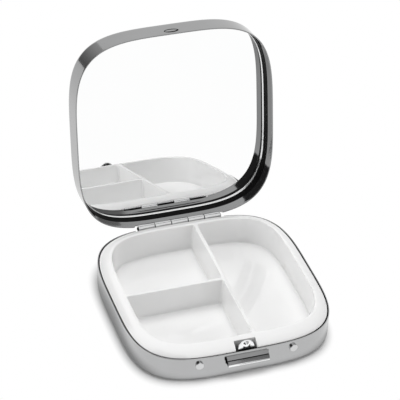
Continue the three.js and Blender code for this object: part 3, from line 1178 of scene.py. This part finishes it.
class ShapeTree:
    """A Geometry Nodes tree with named inputs, whose result is taken as one plain mesh."""

    name = "shape"
    inputs: tuple[tuple[str, str], ...] = ()

    def __init__(self) -> None:
        """Builds the tree."""
        self.group = bpy.data.node_groups.new(self.name, "GeometryNodeTree")
        face = self.group.interface
        face.new_socket("Geometry", in_out="OUTPUT", socket_type="NodeSocketGeometry")
        self.keys: dict[str, str] = {}
        for label, kind in self.inputs + (("Material", "NodeSocketMaterial"),):
            self.keys[label] = face.new_socket(label, in_out="INPUT", socket_type=kind).identifier
        graph = Graph(self.group)
        given = graph.node("NodeGroupInput")
        real = graph.node("GeometryNodeRealizeInstances", None, {"Geometry": self.shape(graph, given)})
        worn = {"Geometry": real, "Material": given.output("Material")}
        dressed = graph.node("GeometryNodeSetMaterial", None, worn)
        graph.node("NodeGroupOutput", None, {"Geometry": dressed})

    def shape(self, graph: Graph, given: Value) -> Value:
        """The tree's own part, from its inputs to instances."""
        raise NotImplementedError

    @staticmethod
    def line(graph: Graph, count: object, first: object, offset: object) -> Value:
        """Points in a row."""
        sockets = {"Count": count, "Start Location": first, "Offset": offset}
        return graph.node("GeometryNodeMeshLine", {"mode": "OFFSET"}, sockets)

    def make(self, name: str, values: dict[str, object]) -> Piece:
        """The tree's result as an object.

        Args:
            name: The object's name.
            values: What the named inputs hold.

        Returns:
            The new object with a plain mesh.
        """
        made = bpy.data.objects.new(name, bpy.data.meshes.new(name))
        bpy.context.scene.collection.objects.link(made)
        modifier = made.modifiers.new("shape", "NODES")
        modifier.node_group = self.group
        for key, value in values.items():
            modifier[self.keys[key]] = value
        mesh = evaluated_mesh(made)
        made.modifiers.remove(modifier)
        made.data = mesh
        if mesh.materials[0] is None:
            mesh.materials.pop(index=0)
        smooth(mesh)
        return made


class KnuckleRow(ShapeTree):
    """Rolls a row of knuckles round the hinge's axis."""

    name = "knuckle_row"
    inputs = (
        ("Count", "NodeSocketInt"),
        ("First", "NodeSocketVector"),
        ("Step", "NodeSocketVector"),
        ("Length", "NodeSocketFloat"),
        ("Radius", "NodeSocketFloat"),
        ("Wall", "NodeSocketFloat"),
        ("Edge", "NodeSocketFloat"),
        ("Seam", "NodeSocketFloat"),
        ("Sweep", "NodeSocketFloat"),
    )
    roll_count = 44
    edge_count = 3

    def shape(self, graph: Graph, given: Value) -> Value:
        """Rolled strips, each with an open seam, on a line of points.

        Args:
            graph: The tree.
            given: Its inputs.

        Returns:
            The instances.
        """
        middle = given.output("Radius") - 0.5 * given.output("Wall")
        turn = {"Start Angle": given.output("Seam"), "Sweep Angle": given.output("Sweep")}
        roll = {"Resolution": self.roll_count, "Radius": middle, **turn}
        circle = graph.node("GeometryNodeCurveArc", None, roll)
        size = {"Width": given.output("Wall"), "Height": given.output("Length")}
        wall = graph.node("GeometryNodeCurvePrimitiveQuadrilateral", None, size)
        edge = {"Count": self.edge_count, "Radius": given.output("Edge"), "Limit Radius": True}
        rounded = graph.node("GeometryNodeFilletCurve", {"mode": "POLY"}, {"Curve": wall, **edge})
        strip = {"Curve": circle, "Profile Curve": rounded, "Fill Caps": True}
        rolled = graph.node("GeometryNodeCurveToMesh", None, strip)
        laid = {"Geometry": rolled, "Rotation": (0.0, math.pi / 2, 0.0)}
        knuckle = graph.node("GeometryNodeTransform", None, laid)
        places = self.line(graph, given.output("Count"), given.output("First"), given.output("Step"))
        return graph.node("GeometryNodeInstanceOnPoints", None, {"Points": places, "Instance": knuckle})


class RivetPair(ShapeTree):
    """Sets a rivet on either side of the button, each square to the wall."""

    name = "rivet_pair"
    inputs = (
        ("Rivet", "NodeSocketObject"),
        ("Left", "NodeSocketVector"),
        ("Spacing", "NodeSocketFloat"),
        ("Turn", "NodeSocketFloat"),
    )

    def shape(self, graph: Graph, given: Value) -> Value:
        """Two turned copies of the rivet.

        Args:
            graph: The tree.
            given: Its inputs.

        Returns:
            The instances.
        """
        offset = graph.node("ShaderNodeCombineXYZ", None, {"X": given.output("Spacing")})
        places = self.line(graph, 2, given.output("Left"), offset)
        side = 2.0 * graph.node("GeometryNodeInputIndex") - 1.0
        angles = graph.node("ShaderNodeCombineXYZ", None, {"Z": side * given.output("Turn")})
        turned = graph.node("FunctionNodeEulerToRotation", None, {"Euler": angles})
        source = {"Object": given.output("Rivet")}
        rivet = graph.node("GeometryNodeObjectInfo", None, source, out="Geometry")
        copies = {"Points": places, "Instance": rivet, "Rotation": turned}
        return graph.node("GeometryNodeInstanceOnPoints", None, copies)


@dataclass
class Hinge:
    """Two leaves with rolled knuckles on one pin."""

    box: BoxFrame
    wear: Wardrobe
    length: float = 23.6 * MM
    knuckles: int = 5
    radius: float = 0.95 * MM
    wall: float = 0.3 * MM
    gap: float = 0.2 * MM
    edge: float = 0.07 * MM
    seam: float = 60.0
    base_seam: float = 129.0
    lid_seam: float = 180.0
    pin_radius: float = 0.5 * MM
    pin_end: float = 0.2 * MM
    pin_dome: tuple[Pair, ...] = ((0.5, 0.0), (0.85, 0.12), (1.0, 0.35))
    leaf_sheet: float = 0.16 * MM
    leaf_gap: float = 0.02 * MM
    strap_from: float = 0.45 * MM
    leaf_from: float = 1.15 * MM
    leaf_reach: float = 2.6 * MM

    def build(self) -> None:
        """Makes both leaves and the pin."""
        rows = KnuckleRow()
        # The base leaf's straps and sheet take the near-black metal, painted shade below the barrel
        base = self.leaf(rows, "hinge_leaf_of_base", -1, self.wear.inside)
        lid = self.leaf(rows, "hinge_leaf_of_lid", 1, self.wear.lid_inside)
        lid.data.transform(self.box.opened)
        settle(base, Body.BASE, Slot.METAL, "hinge_base_leaf")
        settle(lid, Body.LID, Slot.METAL, "hinge_lid_leaf")
        settle(self.pin(), Body.BASE, Slot.STEEL, "hinge_pin")

    def leaf(self, rows: KnuckleRow, name: str, side: int, material: Material) -> Piece:
        """One leaf in the shut box.

        Args:
            rows: The tree that rolls knuckles.
            name: The leaf's name.
            side: -1 for the base's leaf, 1 for the lid's.
            material: Finish of its straps and sheet.

        Returns:
            Knuckles, straps and leaf as one object.
        """
        pitch, half = self.length / self.knuckles, self.length / 2
        start, seam, sheet = (
            (0, self.base_seam, self.box.sheet) if side < 0 else (1, self.lid_seam, self.box.lid_sheet)
        )
        middles = [-half + (index + 0.5) * pitch for index in range(start, self.knuckles, 2)]
        long, axis = pitch - self.gap, self.box.axis
        row = rows.make(
            name,
            {
                "Count": len(middles),
                "First": (middles[0], axis.y, axis.z),
                "Step": (2 * pitch, 0.0, 0.0),
                "Length": long,
                "Radius": self.radius,
                "Wall": self.wall,
                "Edge": self.edge,
                "Seam": math.radians(seam + self.seam / 2),
                "Sweep": math.radians(360.0 - self.seam),
                "Material": self.wear.plated,
            },
        )
        row.data.materials.append(material)
        outer = self.box.half - sheet - self.leaf_gap
        reaches = (self.strap_from, self.leaf_from, self.leaf_reach)
        rise, near, far = (axis.z + side * reach for reach in reaches)
        spans = [(middle - long / 2, middle + long / 2, rise, near) for middle in middles]
        spans.append((-half, half, near, far))
        for left, right, low, high in spans:
            corners = (left, outer - self.leaf_sheet, min(low, high)), (right, outer, max(low, high))
            add_block(row.data, *corners, kind=1)
        smooth(row.data)
        return row

    def pin(self) -> Piece:
        """The pin, domed at both ends and near-black as painted shade in the knuckles' open seams.

        Returns:
            The pin in its place.
        """
        reach, radius = self.length / 2 + self.pin_end, self.pin_radius
        half = [(radius * across, -reach + radius * along) for across, along in self.pin_dome]
        return spun(both_ends(half), self.box.on_axis).piece("hinge_pin_bar", [self.wear.lacquer])


def add_block(mesh: bpy.types.Mesh, low: Triple, high: Triple, kind: int) -> None:
    """Adds a closed block to a mesh.

    Args:
        mesh: The mesh that grows.
        low: The block's lowest corner.
        high: Its highest corner.
        kind: Its material number.
    """
    work = bmesh.new()
    work.from_mesh(mesh)
    made = bmesh.ops.create_cube(work, size=1.0)["verts"]
    for face in {face for corner in made for face in corner.link_faces}:
        face.material_index = kind
    bmesh.ops.scale(work, vec=Vector(high) - Vector(low), verts=made)
    bmesh.ops.translate(work, vec=(Vector(high) + Vector(low)) / 2, verts=made)
    work.to_mesh(mesh)
    work.free()


@dataclass
class Lid:
    """The lid shell, the mirror, its frame and its pad."""

    box: BoxFrame
    wear: Wardrobe
    height: float = 8.2 * MM
    edge_radius: float = 1.6 * MM
    rim: float = 0.29 * MM
    crown: float = 0.2 * MM
    slot_half: float = 2.0 * MM
    slot_rise: float = 2.15 * MM
    slot_height: float = 2.4 * MM
    slot_depth: float = 0.37 * MM
    slot_count: int = 40
    boss_depth: float = 0.1 * MM
    boss_gaps: Triple = (0.3 * MM, 1.0 * MM, 0.25 * MM)
    seat_border: float = 0.15 * MM
    mirror_depth: float = 5.85 * MM
    mirror_thickness: float = 0.9 * MM
    mirror_half: float = 26.9 * MM
    ground_edge: float = 0.1 * MM
    frame_half: float = 27.17 * MM
    frame_sheet: float = 0.06 * MM
    frame_foot: float = 3.45 * MM
    frame_seat: float = 0.04 * MM
    lip_from: float = 5.4 * MM
    lip_half: float = 26.76 * MM
    lip_bulge: float = 0.05 * MM
    pad_half: float = 23.8 * MM
    pad_gap: float = 0.06 * MM
    pad_count: int = 160

    def build(self) -> None:
        """Makes the lid's pieces in the shut box and turns them open."""
        shell = Shell(self.box, self.height, self.edge_radius, self.rim, self.box.lid_sheet, self.crown)
        top = self.box.lid_rim + self.height
        turned = Matrix.Translation((0.0, 0.0, top)) @ Matrix.Rotation(math.pi, 4, "X")
        piece = shell.build("lid_shell_pressing", self.wear.lid_metal, self.wear.lid_inside, turned)
        join(piece, self.slot_seat())
        cut(piece, self.slot(), self.box.barrel_room())
        join(piece, self.slot_boss())
        piece.data.transform(self.box.opened)
        settle(piece, Body.LID, Slot.METAL, "lid_shell")
        settle(self.frame_ring(), Body.LID, Slot.FRAME, "mirror_frame")
        settle(self.glass(), Body.LID, Slot.MIRROR, "mirror_glass")
        pad = self.pad()
        settle(pad, Body.LID, Slot.TAPE, "mirror_pad")

    @property
    def seat(self) -> Matrix:
        """From depths behind the open lid's rim to the shared frame."""
        return self.box.opened @ Matrix.Translation((0.0, 0.0, self.box.lid_rim))

    def slot_bar(self, name: str, gaps: Triple, depths: Pair, material: Material) -> Piece:
        """An oval bar square to the lid's front wall, as large as the slot or smaller.

        Args:
            name: The bar's name.
            gaps: Its distance from the slot's edge at its ends, towards the rim and away from it.
            depths: Where it starts and stops behind the front wall.
            material: Its finish.

        Returns:
            The closed bar.
        """
        side, near, far = gaps
        half, rise = self.slot_half - side, (self.slot_height - near - far) / 2
        middle = self.box.lid_rim + self.slot_rise + (near - far) / 2
        angles = np.linspace(0.0, 2 * math.pi, self.slot_count, endpoint=False)
        section = [(half * math.cos(angle), middle + rise * math.sin(angle)) for angle in angles]
        ends = [depth - self.box.half for depth in depths]
        return bar(name, section, ends, lambda x, z, y: (x, y, z), [material])

    def slot(self) -> Piece:
        """The oval that the catch snaps into, its walls in near-black metal as painted shade."""
        return self.slot_bar("catch_slot", (0.0, 0.0, 0.0), (-self.height, self.slot_depth), self.wear.inside)

    def slot_boss(self) -> Piece:
        """The raised middle of the slot's seat."""
        depths = (self.boss_depth, self.slot_depth + self.seat_border / 4)
        return self.slot_bar("slot_boss", self.boss_gaps, depths, self.wear.lid_metal)

    def slot_seat(self) -> Piece:
        """The pressed sheet that closes the slot from behind.

        Returns:
            A block that starts inside the lid's sheet.
        """
        half, middle = self.slot_half + self.seat_border, self.box.lid_rim + self.slot_rise
        rise = self.slot_height / 2 + self.seat_border
        front, back = self.box.lid_sheet / 2, self.slot_depth + self.seat_border / 2
        low = (-half, front - self.box.half, middle - rise)
        return block("slot_seat", low, (half, back - self.box.half, middle + rise), [self.wear.lid_inside])

    def frame_ring(self) -> Piece:
        """The ring of slightly conical black wall with a bright bead on the glass.

        Returns:
            The ring in the open lid.
        """
        outer, sheet, seat = self.frame_half, self.frame_sheet, self.mirror_depth - self.frame_seat
        foot = arc((outer - sheet / 2, self.frame_foot + sheet / 2), sheet / 2, 0, -180, 6)
        wall = [(outer - sheet, self.frame_foot + sheet), (self.lip_half, self.lip_from - sheet / 4)]
        bulge = (self.lip_half - 2 * self.lip_bulge, (self.lip_from + seat) / 2)
        lip = curve((self.lip_half, self.lip_from), bulge, (self.lip_half, seat), 8)
        back = [(outer, seat)]
        draft = Draft()
        rings = []
        for profile, kind in ((foot, 0), (wall, 0), (lip, 1), (back, 1)):
            made = lathe(self.box.plan, profile, draft, kind=kind)
            if rings:
                draft.bridge(rings[-1], made[0], kind)
            rings += made
        draft.bridge(rings[-1], rings[0], 1)
        return draft.piece("mirror_frame_ring", [self.wear.lacquer, self.wear.bright], self.seat)

    def sheet(self, name: str, profile: Profile, material: Material, count: int = PLAN_COUNT) -> Piece:
        """A flat sheet in the open lid.

        Args:
            name: The sheet's name.
            profile: Half widths and depths of its edge, from its front to its back.
            material: Its finish.
            count: Points in a ring.

        Returns:
            The closed sheet.
        """
        draft = Draft()
        rings = lathe(self.box.plan, profile, draft, count)
        for ring, (_, depth) in ((rings[0], profile[0]), (rings[-1], profile[-1])):
            draft.fan(ring, (0.0, 0.0, depth))
        return draft.piece(name, [material], self.seat)

    def glass(self) -> Piece:
        """The mirror, with a small ground edge.

        Returns:
            The sheet of glass.
        """
        half, ground = self.mirror_half, self.ground_edge
        near, far = self.mirror_depth, self.mirror_depth + self.mirror_thickness
        flat = half - 3 * ground
        profile = [(flat, near), (half - ground, near), (half, near + ground)]
        profile += [(half, far - ground), (half - ground, far), (flat, far)]
        return self.sheet("mirror_glass_sheet", profile, self.wear.mirror)

    def pad(self) -> Piece:
        """The tape between glass and lid, with rounded edges.

        Returns:
            The sheet of tape.
        """
        near = self.mirror_depth + self.mirror_thickness + self.pad_gap
        far = self.height - self.box.lid_sheet - self.pad_gap
        soft = (far - near) / 2
        flat = self.pad_half - 4 * soft
        edge = arc((self.pad_half - soft, near + soft), soft, -90, 90, 6)
        profile = [(flat, near), *edge, (flat, far)]
        return self.sheet("mirror_pad_tape", profile, self.wear.tape, self.pad_count)


@dataclass
class Catch:
    """The push button, its plate with the tongue, the strip spring and the rivets."""

    box: BoxFrame
    wear: Wardrobe
    button_half: float = 5.55 * MM
    button_top: float = 6.58 * MM
    button_low: float = 4.42 * MM
    button_back: float = -26.95 * MM
    button_shelf: float = -27.5 * MM
    button_crease: Pair = (-28.6 * MM, 5.95 * MM)
    button_lip: Pair = (-29.2 * MM, 5.05 * MM)
    button_fold: float = 0.09 * MM
    crease_folds: tuple[Pair, ...] = ((1.5, 0.8), (3.0, -2.0), (-0.8, -1.5))
    lip_roll: float = 0.42 * MM
    lip_steps: int = 10
    button_edge: float = 0.06 * MM
    button_soft: float = 0.97
    button_hollow: float = 0.72
    plate_front: float = -26.75 * MM
    plate_thickness: float = 0.4 * MM
    plate_half: float = 6.6 * MM
    plate_low: float = 4.3 * MM
    plate_high: float = 6.75 * MM
    plate_soft: float = 0.1 * MM
    plate_chamfer: float = 0.3
    tongue_radius: float = 2.2 * MM
    tongue_top: float = 9.75 * MM
    tongue_foot: float = 7.3 * MM
    tongue_lean: float = 0.15
    tongue_count: int = 96
    bead_height: float = 8.6 * MM
    bead_radius: float = 1.05 * MM
    bead_rise: float = 0.42 * MM
    bead_power: float = 1.25
    bead_steps: int = 10
    spring_half: float = 14.6 * MM
    spring_front: float = -26.15 * MM
    spring_sheet: float = 0.3 * MM
    spring_low: float = 4.4 * MM
    spring_high: float = 6.2 * MM
    spring_count: int = 15
    head_radius: float = 1.05 * MM
    head_height: float = 0.6 * MM
    head_round: float = 0.12 * MM
    head_sink: float = 0.02 * MM
    shank_radius: float = 0.55 * MM
    rivet_length: float = 1.75 * MM
    rivet_count: int = 48

    def build(self) -> None:
        settle(self.button(), Body.LATCH, Slot.METAL, "push_button")
        settle(self.plate(), Body.LATCH, Slot.METAL, "latch_plate")
        self.spring_arm("latch_spring_left_arm", -1)
        self.spring_arm("latch_spring_right_arm", 1)
        settle(self.rivets(), Body.BASE, Slot.METAL, "latch_rivet_left", "latch_rivet_right")

    def button_section(self, share: float) -> Profile:
        """The button's section in Y and Z, drawn in towards its middle.

        Args:
            share: 1 for the outside, less for a smaller section inside it.

        Returns:
            The closed section: top, sloping face, crease, steeper face, rolled lip and underside.
        """
        back, top, low, fold = self.button_back, self.button_top, self.button_low, self.button_fold
        (y, z), lip = self.button_crease, self.button_lip
        section = [(back, low), (back, top), (self.button_shelf, top)]
        section += [(y + across * fold, z + up * fold) for across, up in self.crease_folds]
        roll = (lip[0] - self.lip_roll, low + self.lip_roll / 2)
        section += curve(lip, roll, (lip[0] + fold, low), self.lip_steps)
        middle = ((back + lip[0]) / 2, (top + low) / 2)
        return [tuple(m + share * (p - m) for p, m in zip(point, middle)) for point in section]

    def button(self) -> Piece:
        """A folded channel with a creased face and a rolled lower lip in bright plating as a painted
        highlight, hollow inside.

        Returns:
            The button in its window.
        """
        half, edge = self.button_half, self.button_edge
        shares = (1.0, self.button_soft, self.button_hollow)
        outer, soft, inner = (self.button_section(share) for share in shares)
        left = [(inner, -half), (soft, -half), (outer, edge - half)]
        draft = Draft()
        rings = []
        for section, x in left + [(section, -x) for section, x in reversed(left)]:
            rings.append(draft.ring((x, y, z) for y, z in section))
        draft.loft(rings + [rings[0]])
        # Painted highlight: the lip's faces take the bright plating, the rest of the same sheet the darker
        # brushed finish
        count = len(outer)
        lip = range(count - 1 - self.lip_steps, count - 1)
        draft.kinds = [int(i % count in lip) for i in range(len(draft.faces))]
        return draft.piece("push_button_channel", [self.wear.brushed, self.wear.bright])

    def tongue_outline(self, angle: float) -> float:
        """How far the tongue reaches.

        Args:
            angle: The direction from the bead's middle.

        Returns:
            The distance from the bead's middle to the tongue's edge.
        """
        shoulder = self.tongue_top - self.tongue_radius
        up, across = math.sin(angle), math.cos(angle)
        offset = self.bead_height - shoulder
        reach = -offset * up + math.sqrt(self.tongue_radius**2 - (offset * across) ** 2)
        if self.bead_height + reach * up >= shoulder:
            return reach
        to_foot = (self.bead_height - self.tongue_foot) / max(-up, TINY)
        to_side = self.tongue_radius / max(abs(across), TINY)
        return min(to_foot, to_side)

    def tongue(self) -> Piece:
        """The half-round tongue with its pressed bead, which leans back a little.

        Returns:
            The tongue alone.
        """
        soft, thick, bevel = self.plate_soft, self.plate_thickness, self.plate_soft * self.plate_chamfer
        angles = np.linspace(0.0, 2 * math.pi, self.tongue_count, endpoint=False)
        edges = np.array([self.tongue_outline(angle) for angle in angles])
        bead = []
        for share in np.linspace(1 / self.bead_steps, 1.0, self.bead_steps):
            rise = -self.bead_rise * (1 - share * share) ** self.bead_power
            bead.append((np.full(len(edges), self.bead_radius * share), rise))
        rings = bead + [(edges - soft, 0.0), (edges - bevel, bevel), (edges, soft)]
        rings += [(edges, thick - soft), (edges - soft, thick)]
        rings += [(radii, thick + rise) for radii, rise in reversed(bead)]
        draft = Draft()
        made = []
        for reaches, deep in rings:
            flat = [(r * math.cos(a), self.bead_height + r * math.sin(a)) for r, a in zip(reaches, angles)]
            made.append(draft.ring((x, self.plate_front + deep, z) for x, z in flat))
        draft.loft(made)
        tip = self.plate_front - self.bead_rise
        draft.fan(made[0], (0.0, tip, self.bead_height))
        draft.fan(made[-1], (0.0, tip + thick, self.bead_height))
        for point in draft.points:
            point.y += self.tongue_lean * (point.z - self.tongue_foot)
        return draft.piece("latch_plate_tongue", [self.wear.bright])

    def plate(self) -> Piece:
        """The tongue on the plate behind the window, with plate and neck in near-black metal as painted
        shade.

        Returns:
            Tongue, neck and plate as one piece.
        """
        # Plate and neck take the near-black metal, painted shade behind the window and under the tongue
        soft, thick, dark = self.plate_soft, self.plate_thickness, [self.wear.inside]
        half, neck, inset = self.plate_half, self.tongue_radius - soft, soft / 4
        front, back = self.plate_front, self.plate_front + thick
        foot, top = self.plate_high - thick, self.tongue_foot + 2 * soft
        piece = self.tongue()
        join(
            piece,
            block("plate", (-half, front, self.plate_low), (half, back, self.plate_high), dark),
            block("neck", (-neck, front + inset, foot), (neck, back - inset, top), dark),
        )
        return piece

    def spring_arm(self, name: str, side: int) -> None:
        """Makes one half of the strip as a straight bar behind the plate, and hides the imported spring.

        Args:
            name: The arm's name.
            side: -1 for the left half, 1 for the right one.
        """
        front, low, high = self.spring_front, self.spring_low, self.spring_high
        back = front + self.spring_sheet
        section = [(front, low), (back, low), (back, high), (front, high)]
        stops = np.linspace(0.0, side * self.spring_half, self.spring_count)
        piece = bar(name, section, stops, lambda y, z, x: (x, y, z), [self.wear.steel])
        height = (low + high) / 2
        side * (self.box.rivet_spacing / 2 - self.head_radius)
        side * self.plate_half
        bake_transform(piece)
        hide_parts("latch_spring")
        LOG.info("%s bends between base and latch", piece.name)

    def rivets(self) -> Piece:
        """Two flat-headed rivets in the front wall.

        Returns:
            Both rivets as one piece.
        """
        head, soft, shank, front = self.head_radius, self.head_round, self.shank_radius, -self.head_height
        profile = [(head * 0.5, front), (head - soft * 2, front)]
        profile += arc((head - soft, front + soft), soft, -90, 0, 4)
        profile += [(head, self.head_sink), (shank, self.head_sink), (shank, self.rivet_length)]
        shape = spun(profile, lambda x, z, y: (x, y, z), self.rivet_count).piece("rivet_shape")
        x, plan, half = self.box.rivet_spacing / 2, self.box.plan, self.box.half
        turn = math.atan2(plan.depth(x - head, half) - plan.depth(x + head, half), 2 * head)
        left = (-x, -plan.depth(x, half), self.box.rivet_height)
        values = {"Rivet": shape, "Left": left, "Spacing": 2 * x, "Turn": turn, "Material": self.wear.plated}
        pair = RivetPair().make("latch_rivets", values)
        bpy.data.objects.remove(shape)
        return pair


@dataclass(frozen=True)
class PhotoCamera:
    """The camera at the photograph's place."""

    azimuth: float = math.radians(-20.57)
    elevation: float = math.radians(36.90)
    roll: float = math.radians(3.05)
    distance: float = 544.86 * MM
    target: Triple = (2.818 * MM, 19.864 * MM, 20.0 * MM)
    lens: float = 184.14

    def build(self) -> None:
        """Adds the camera and makes it the scene's."""
        flat, rise = math.cos(self.elevation), math.sin(self.elevation)
        back = Vector((math.sin(self.azimuth) * flat, -math.cos(self.azimuth) * flat, rise))
        level = Vector((0.0, 0.0, 1.0)).cross(back).normalized()
        upright = back.cross(level)
        right = level * math.cos(self.roll) + upright * math.sin(self.roll)
        up = upright * math.cos(self.roll) - level * math.sin(self.roll)
        place = Vector(self.target) + back * self.distance
        data = bpy.data.cameras.new("photo_camera")
        data.lens = self.lens
        camera = bpy.data.objects.new("photo_camera", data)
        turn = Matrix((right, up, back)).transposed().to_4x4()
        camera.matrix_world = Matrix.Translation(place) @ turn
        bpy.context.scene.collection.objects.link(camera)
        bpy.context.scene.camera = camera


@dataclass(frozen=True)
class FloorFinish(Finish):
    """A pale floor that is white away from the box and keeps its shadow close by, with painted shadow beside
    the box.
    """

    power: float
    middle: float = -0.45 * MM
    seen_reach: Pair = (29.45 * MM, 30.5 * MM)
    mirrored_reach: Pair = (31.2 * MM, 30.2 * MM)
    shadow_to: float = 0.89
    front_grey: float = 0.95
    # Painted shadow: the paint's grey beside the box
    side_shadow_grey: float = 0.4

    def surface(self, graph: Graph) -> Value:
        """Matt paint, painted darker beside the box as shadow, that fades to plain white with the distance
        from the box.

        Args:
            graph: The material's tree.

        Returns:
            The shader.
        """
        place = graph.axes()
        path = graph.node("ShaderNodeLightPath", out="Is Camera Ray")
        seen = path * self.whiteness(graph, place, self.seen_reach)
        mirrored = path.output("Is Glossy Ray") * self.whiteness(graph, place, self.mirrored_reach)
        # Painted shadow: the paint darkens from the front of the box towards its sides
        across = self.share(place.output("X") - self.middle, self.seen_reach[0])
        near = graph.mixed(across, tone(self.front_grey), tone(self.side_shadow_grey))
        paint = graph.node("ShaderNodeBsdfDiffuse", None, {"Color": near})
        glow = graph.node("ShaderNodeEmission", None, {"Color": tone(1.0)})
        return graph.node("ShaderNodeMixShader", None, {0: seen + mirrored, 1: paint, 2: glow})

    def share(self, distance: Value, reach: float) -> Value:
        """A distance from the middle as a share of a reach, in the plan's power."""
        return (abs(distance) * (1 / reach)) ** self.power

    def whiteness(self, graph: Graph, place: Value, reach: Pair) -> Value:
        """How white the floor is, from 0 under the box to 1 outside an outline.

        Args:
            graph: The material's tree.
            place: The place on the floor, by axis.
            reach: Half the outline's width along X and Y.

        Returns:
            The share of white.
        """
        across = self.share(place.output("X") - self.middle, reach[0])
        along = self.share(place.output("Y"), reach[1])
        return graph.eased((across + along) ** (1 / self.power), self.shadow_to, 1.0)


@dataclass(frozen=True)
class CardFinish(Finish):
    """A studio card whose light changes along its width."""

    azimuth: Pair
    level: Pair

    def surface(self, graph: Graph) -> Value:
        """Light that goes from the first level to the second one.

        Args:
            graph: The material's tree.

        Returns:
            The shader.
        """
        place = graph.axes()
        turn = place.output("X").angle(-1.0 * place.output("Y"))
        share = graph.eased(turn, *(math.radians(edge) for edge in self.azimuth))
        first, second = (tone(level) for level in self.level)
        return graph.node("ShaderNodeEmission", None, {"Color": graph.mixed(share, first, second)})


@dataclass(frozen=True)
class Card:
    """A curved studio card that only shows in reflections.

    Azimuths and elevations are in degrees. Azimuth 0 is in front of the button, 90 on its right.
    """

    name: str
    azimuth: Pair
    elevation: Pair
    level: Pair
    distance: float = 0.9
    steps: int = 12

    def build(self) -> None:
        """Sets the card up round the box."""
        draft = Draft()
        rows = []
        for rise in np.radians(np.linspace(*self.elevation, self.steps + 1)):
            flat, height = self.distance * math.cos(rise), self.distance * math.sin(rise)
            turns = np.radians(np.linspace(*self.azimuth, self.steps + 1))
            rows.append(draft.ring((flat * math.sin(turn), -flat * math.cos(turn), height) for turn in turns))
        for low, high in zip(rows, rows[1:]):
            for i in range(self.steps):
                draft.face((low[i], low[i + 1], high[i + 1], high[i]))
        piece = draft.piece(self.name, [CardFinish(self.name, self.azimuth, self.level).make()])
        piece.visible_camera = False
        piece.visible_diffuse = False
        piece.visible_shadow = False
        piece.visible_transmission = False


@dataclass(frozen=True)
class Lamp:
    """A square soft lamp that faces the box and doesn't show in reflections."""

    name: str
    place: Triple
    watts: float
    size: float = 0.6

    def build(self) -> None:
        """Hangs the lamp."""
        data = bpy.data.lights.new(self.name, "AREA")
        data.size = self.size
        data.energy = self.watts
        lamp = bpy.data.objects.new(self.name, data)
        lamp.location = self.place
        lamp.visible_glossy = False
        lamp.rotation_euler = (-Vector(self.place)).to_track_quat("-Z", "Y").to_euler()
        bpy.context.scene.collection.objects.link(lamp)


@dataclass
class Studio:
    """Floor, surroundings, cards and lamps."""

    plan: Plan
    ambient: float = 0.22
    floor_half: float = 3.0
    cards: tuple[Card, ...] = (
        Card("front_left_flag", (-75, -9), (0, 56), (0.04, 0.04), distance=0.4),
        Card("front_right_flag", (8, 65), (2, 31), (0.35, 0.5)),
        Card("back_left_flag", (-172, -145), (0, 28), (0.6, 0.04), distance=0.6),
        Card("left_flag", (-145, -128), (0, 28), (0.04, 0.04), distance=0.6),
    )
    lamps: tuple[Lamp, ...] = (
        Lamp("left_softbox", (-0.7, -0.1, 0.3), 2.5),
        Lamp("right_softbox", (0.55, -0.5, 0.25), 1.85),
        Lamp("overhead_softbox", (0.0, 0.17, 0.9), 5.85),
    )

    def build(self) -> None:
        """Sets up the stage."""
        self.floor()
        self.world()
        for thing in self.cards + self.lamps:
            thing.build()

    def floor(self) -> None:
        """A wide plain floor."""
        draft = Draft()
        reach = self.floor_half
        corners = [(-reach, -reach), (reach, -reach), (reach, reach), (-reach, reach)]
        draft.face(draft.ring((x, y, 0.0) for x, y in corners))
        draft.piece("studio_floor", [FloorFinish("pale_floor", self.plan.power).make()])

    def world(self) -> None:
        """White for what is seen straight, in a mirror or through glass, and a plain level of light else."""
        world = bpy.data.worlds.new("studio")
        world.use_nodes = True
        graph = Graph(world.node_tree)
        path = graph.node("ShaderNodeLightPath", out="Is Camera Ray")
        seen = path.largest(path.output("Is Glossy Ray")).largest(path.output("Is Transmission Ray"))
        light, white = (
            graph.node("ShaderNodeBackground", None, {"Color": tone(1.0), "Strength": strength})
            for strength in (self.ambient, 1.0)
        )
        mixed = graph.node("ShaderNodeMixShader", None, {0: seen, 1: light, 2: white})
        graph.node("ShaderNodeOutputWorld", None, {"Surface": mixed})
        bpy.context.scene.world = world


def main() -> None:
    """Builds the box piece by piece, then the stage round it."""
    logging.basicConfig(level=logging.INFO, format="%(name)s: %(message)s")
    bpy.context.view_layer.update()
    box = BoxFrame.from_frame()
    wear = Wardrobe(box.open_angle)
    PhotoCamera().build()
    for assembly in (Base(box, wear), Tray(box, wear), Hinge(box, wear), Lid(box, wear), Catch(box, wear)):
        assembly.build()
    Studio(box.plan).build()
    bpy.context.scene.view_settings.view_transform = "Standard"


if __name__ == "__main__":
    main()
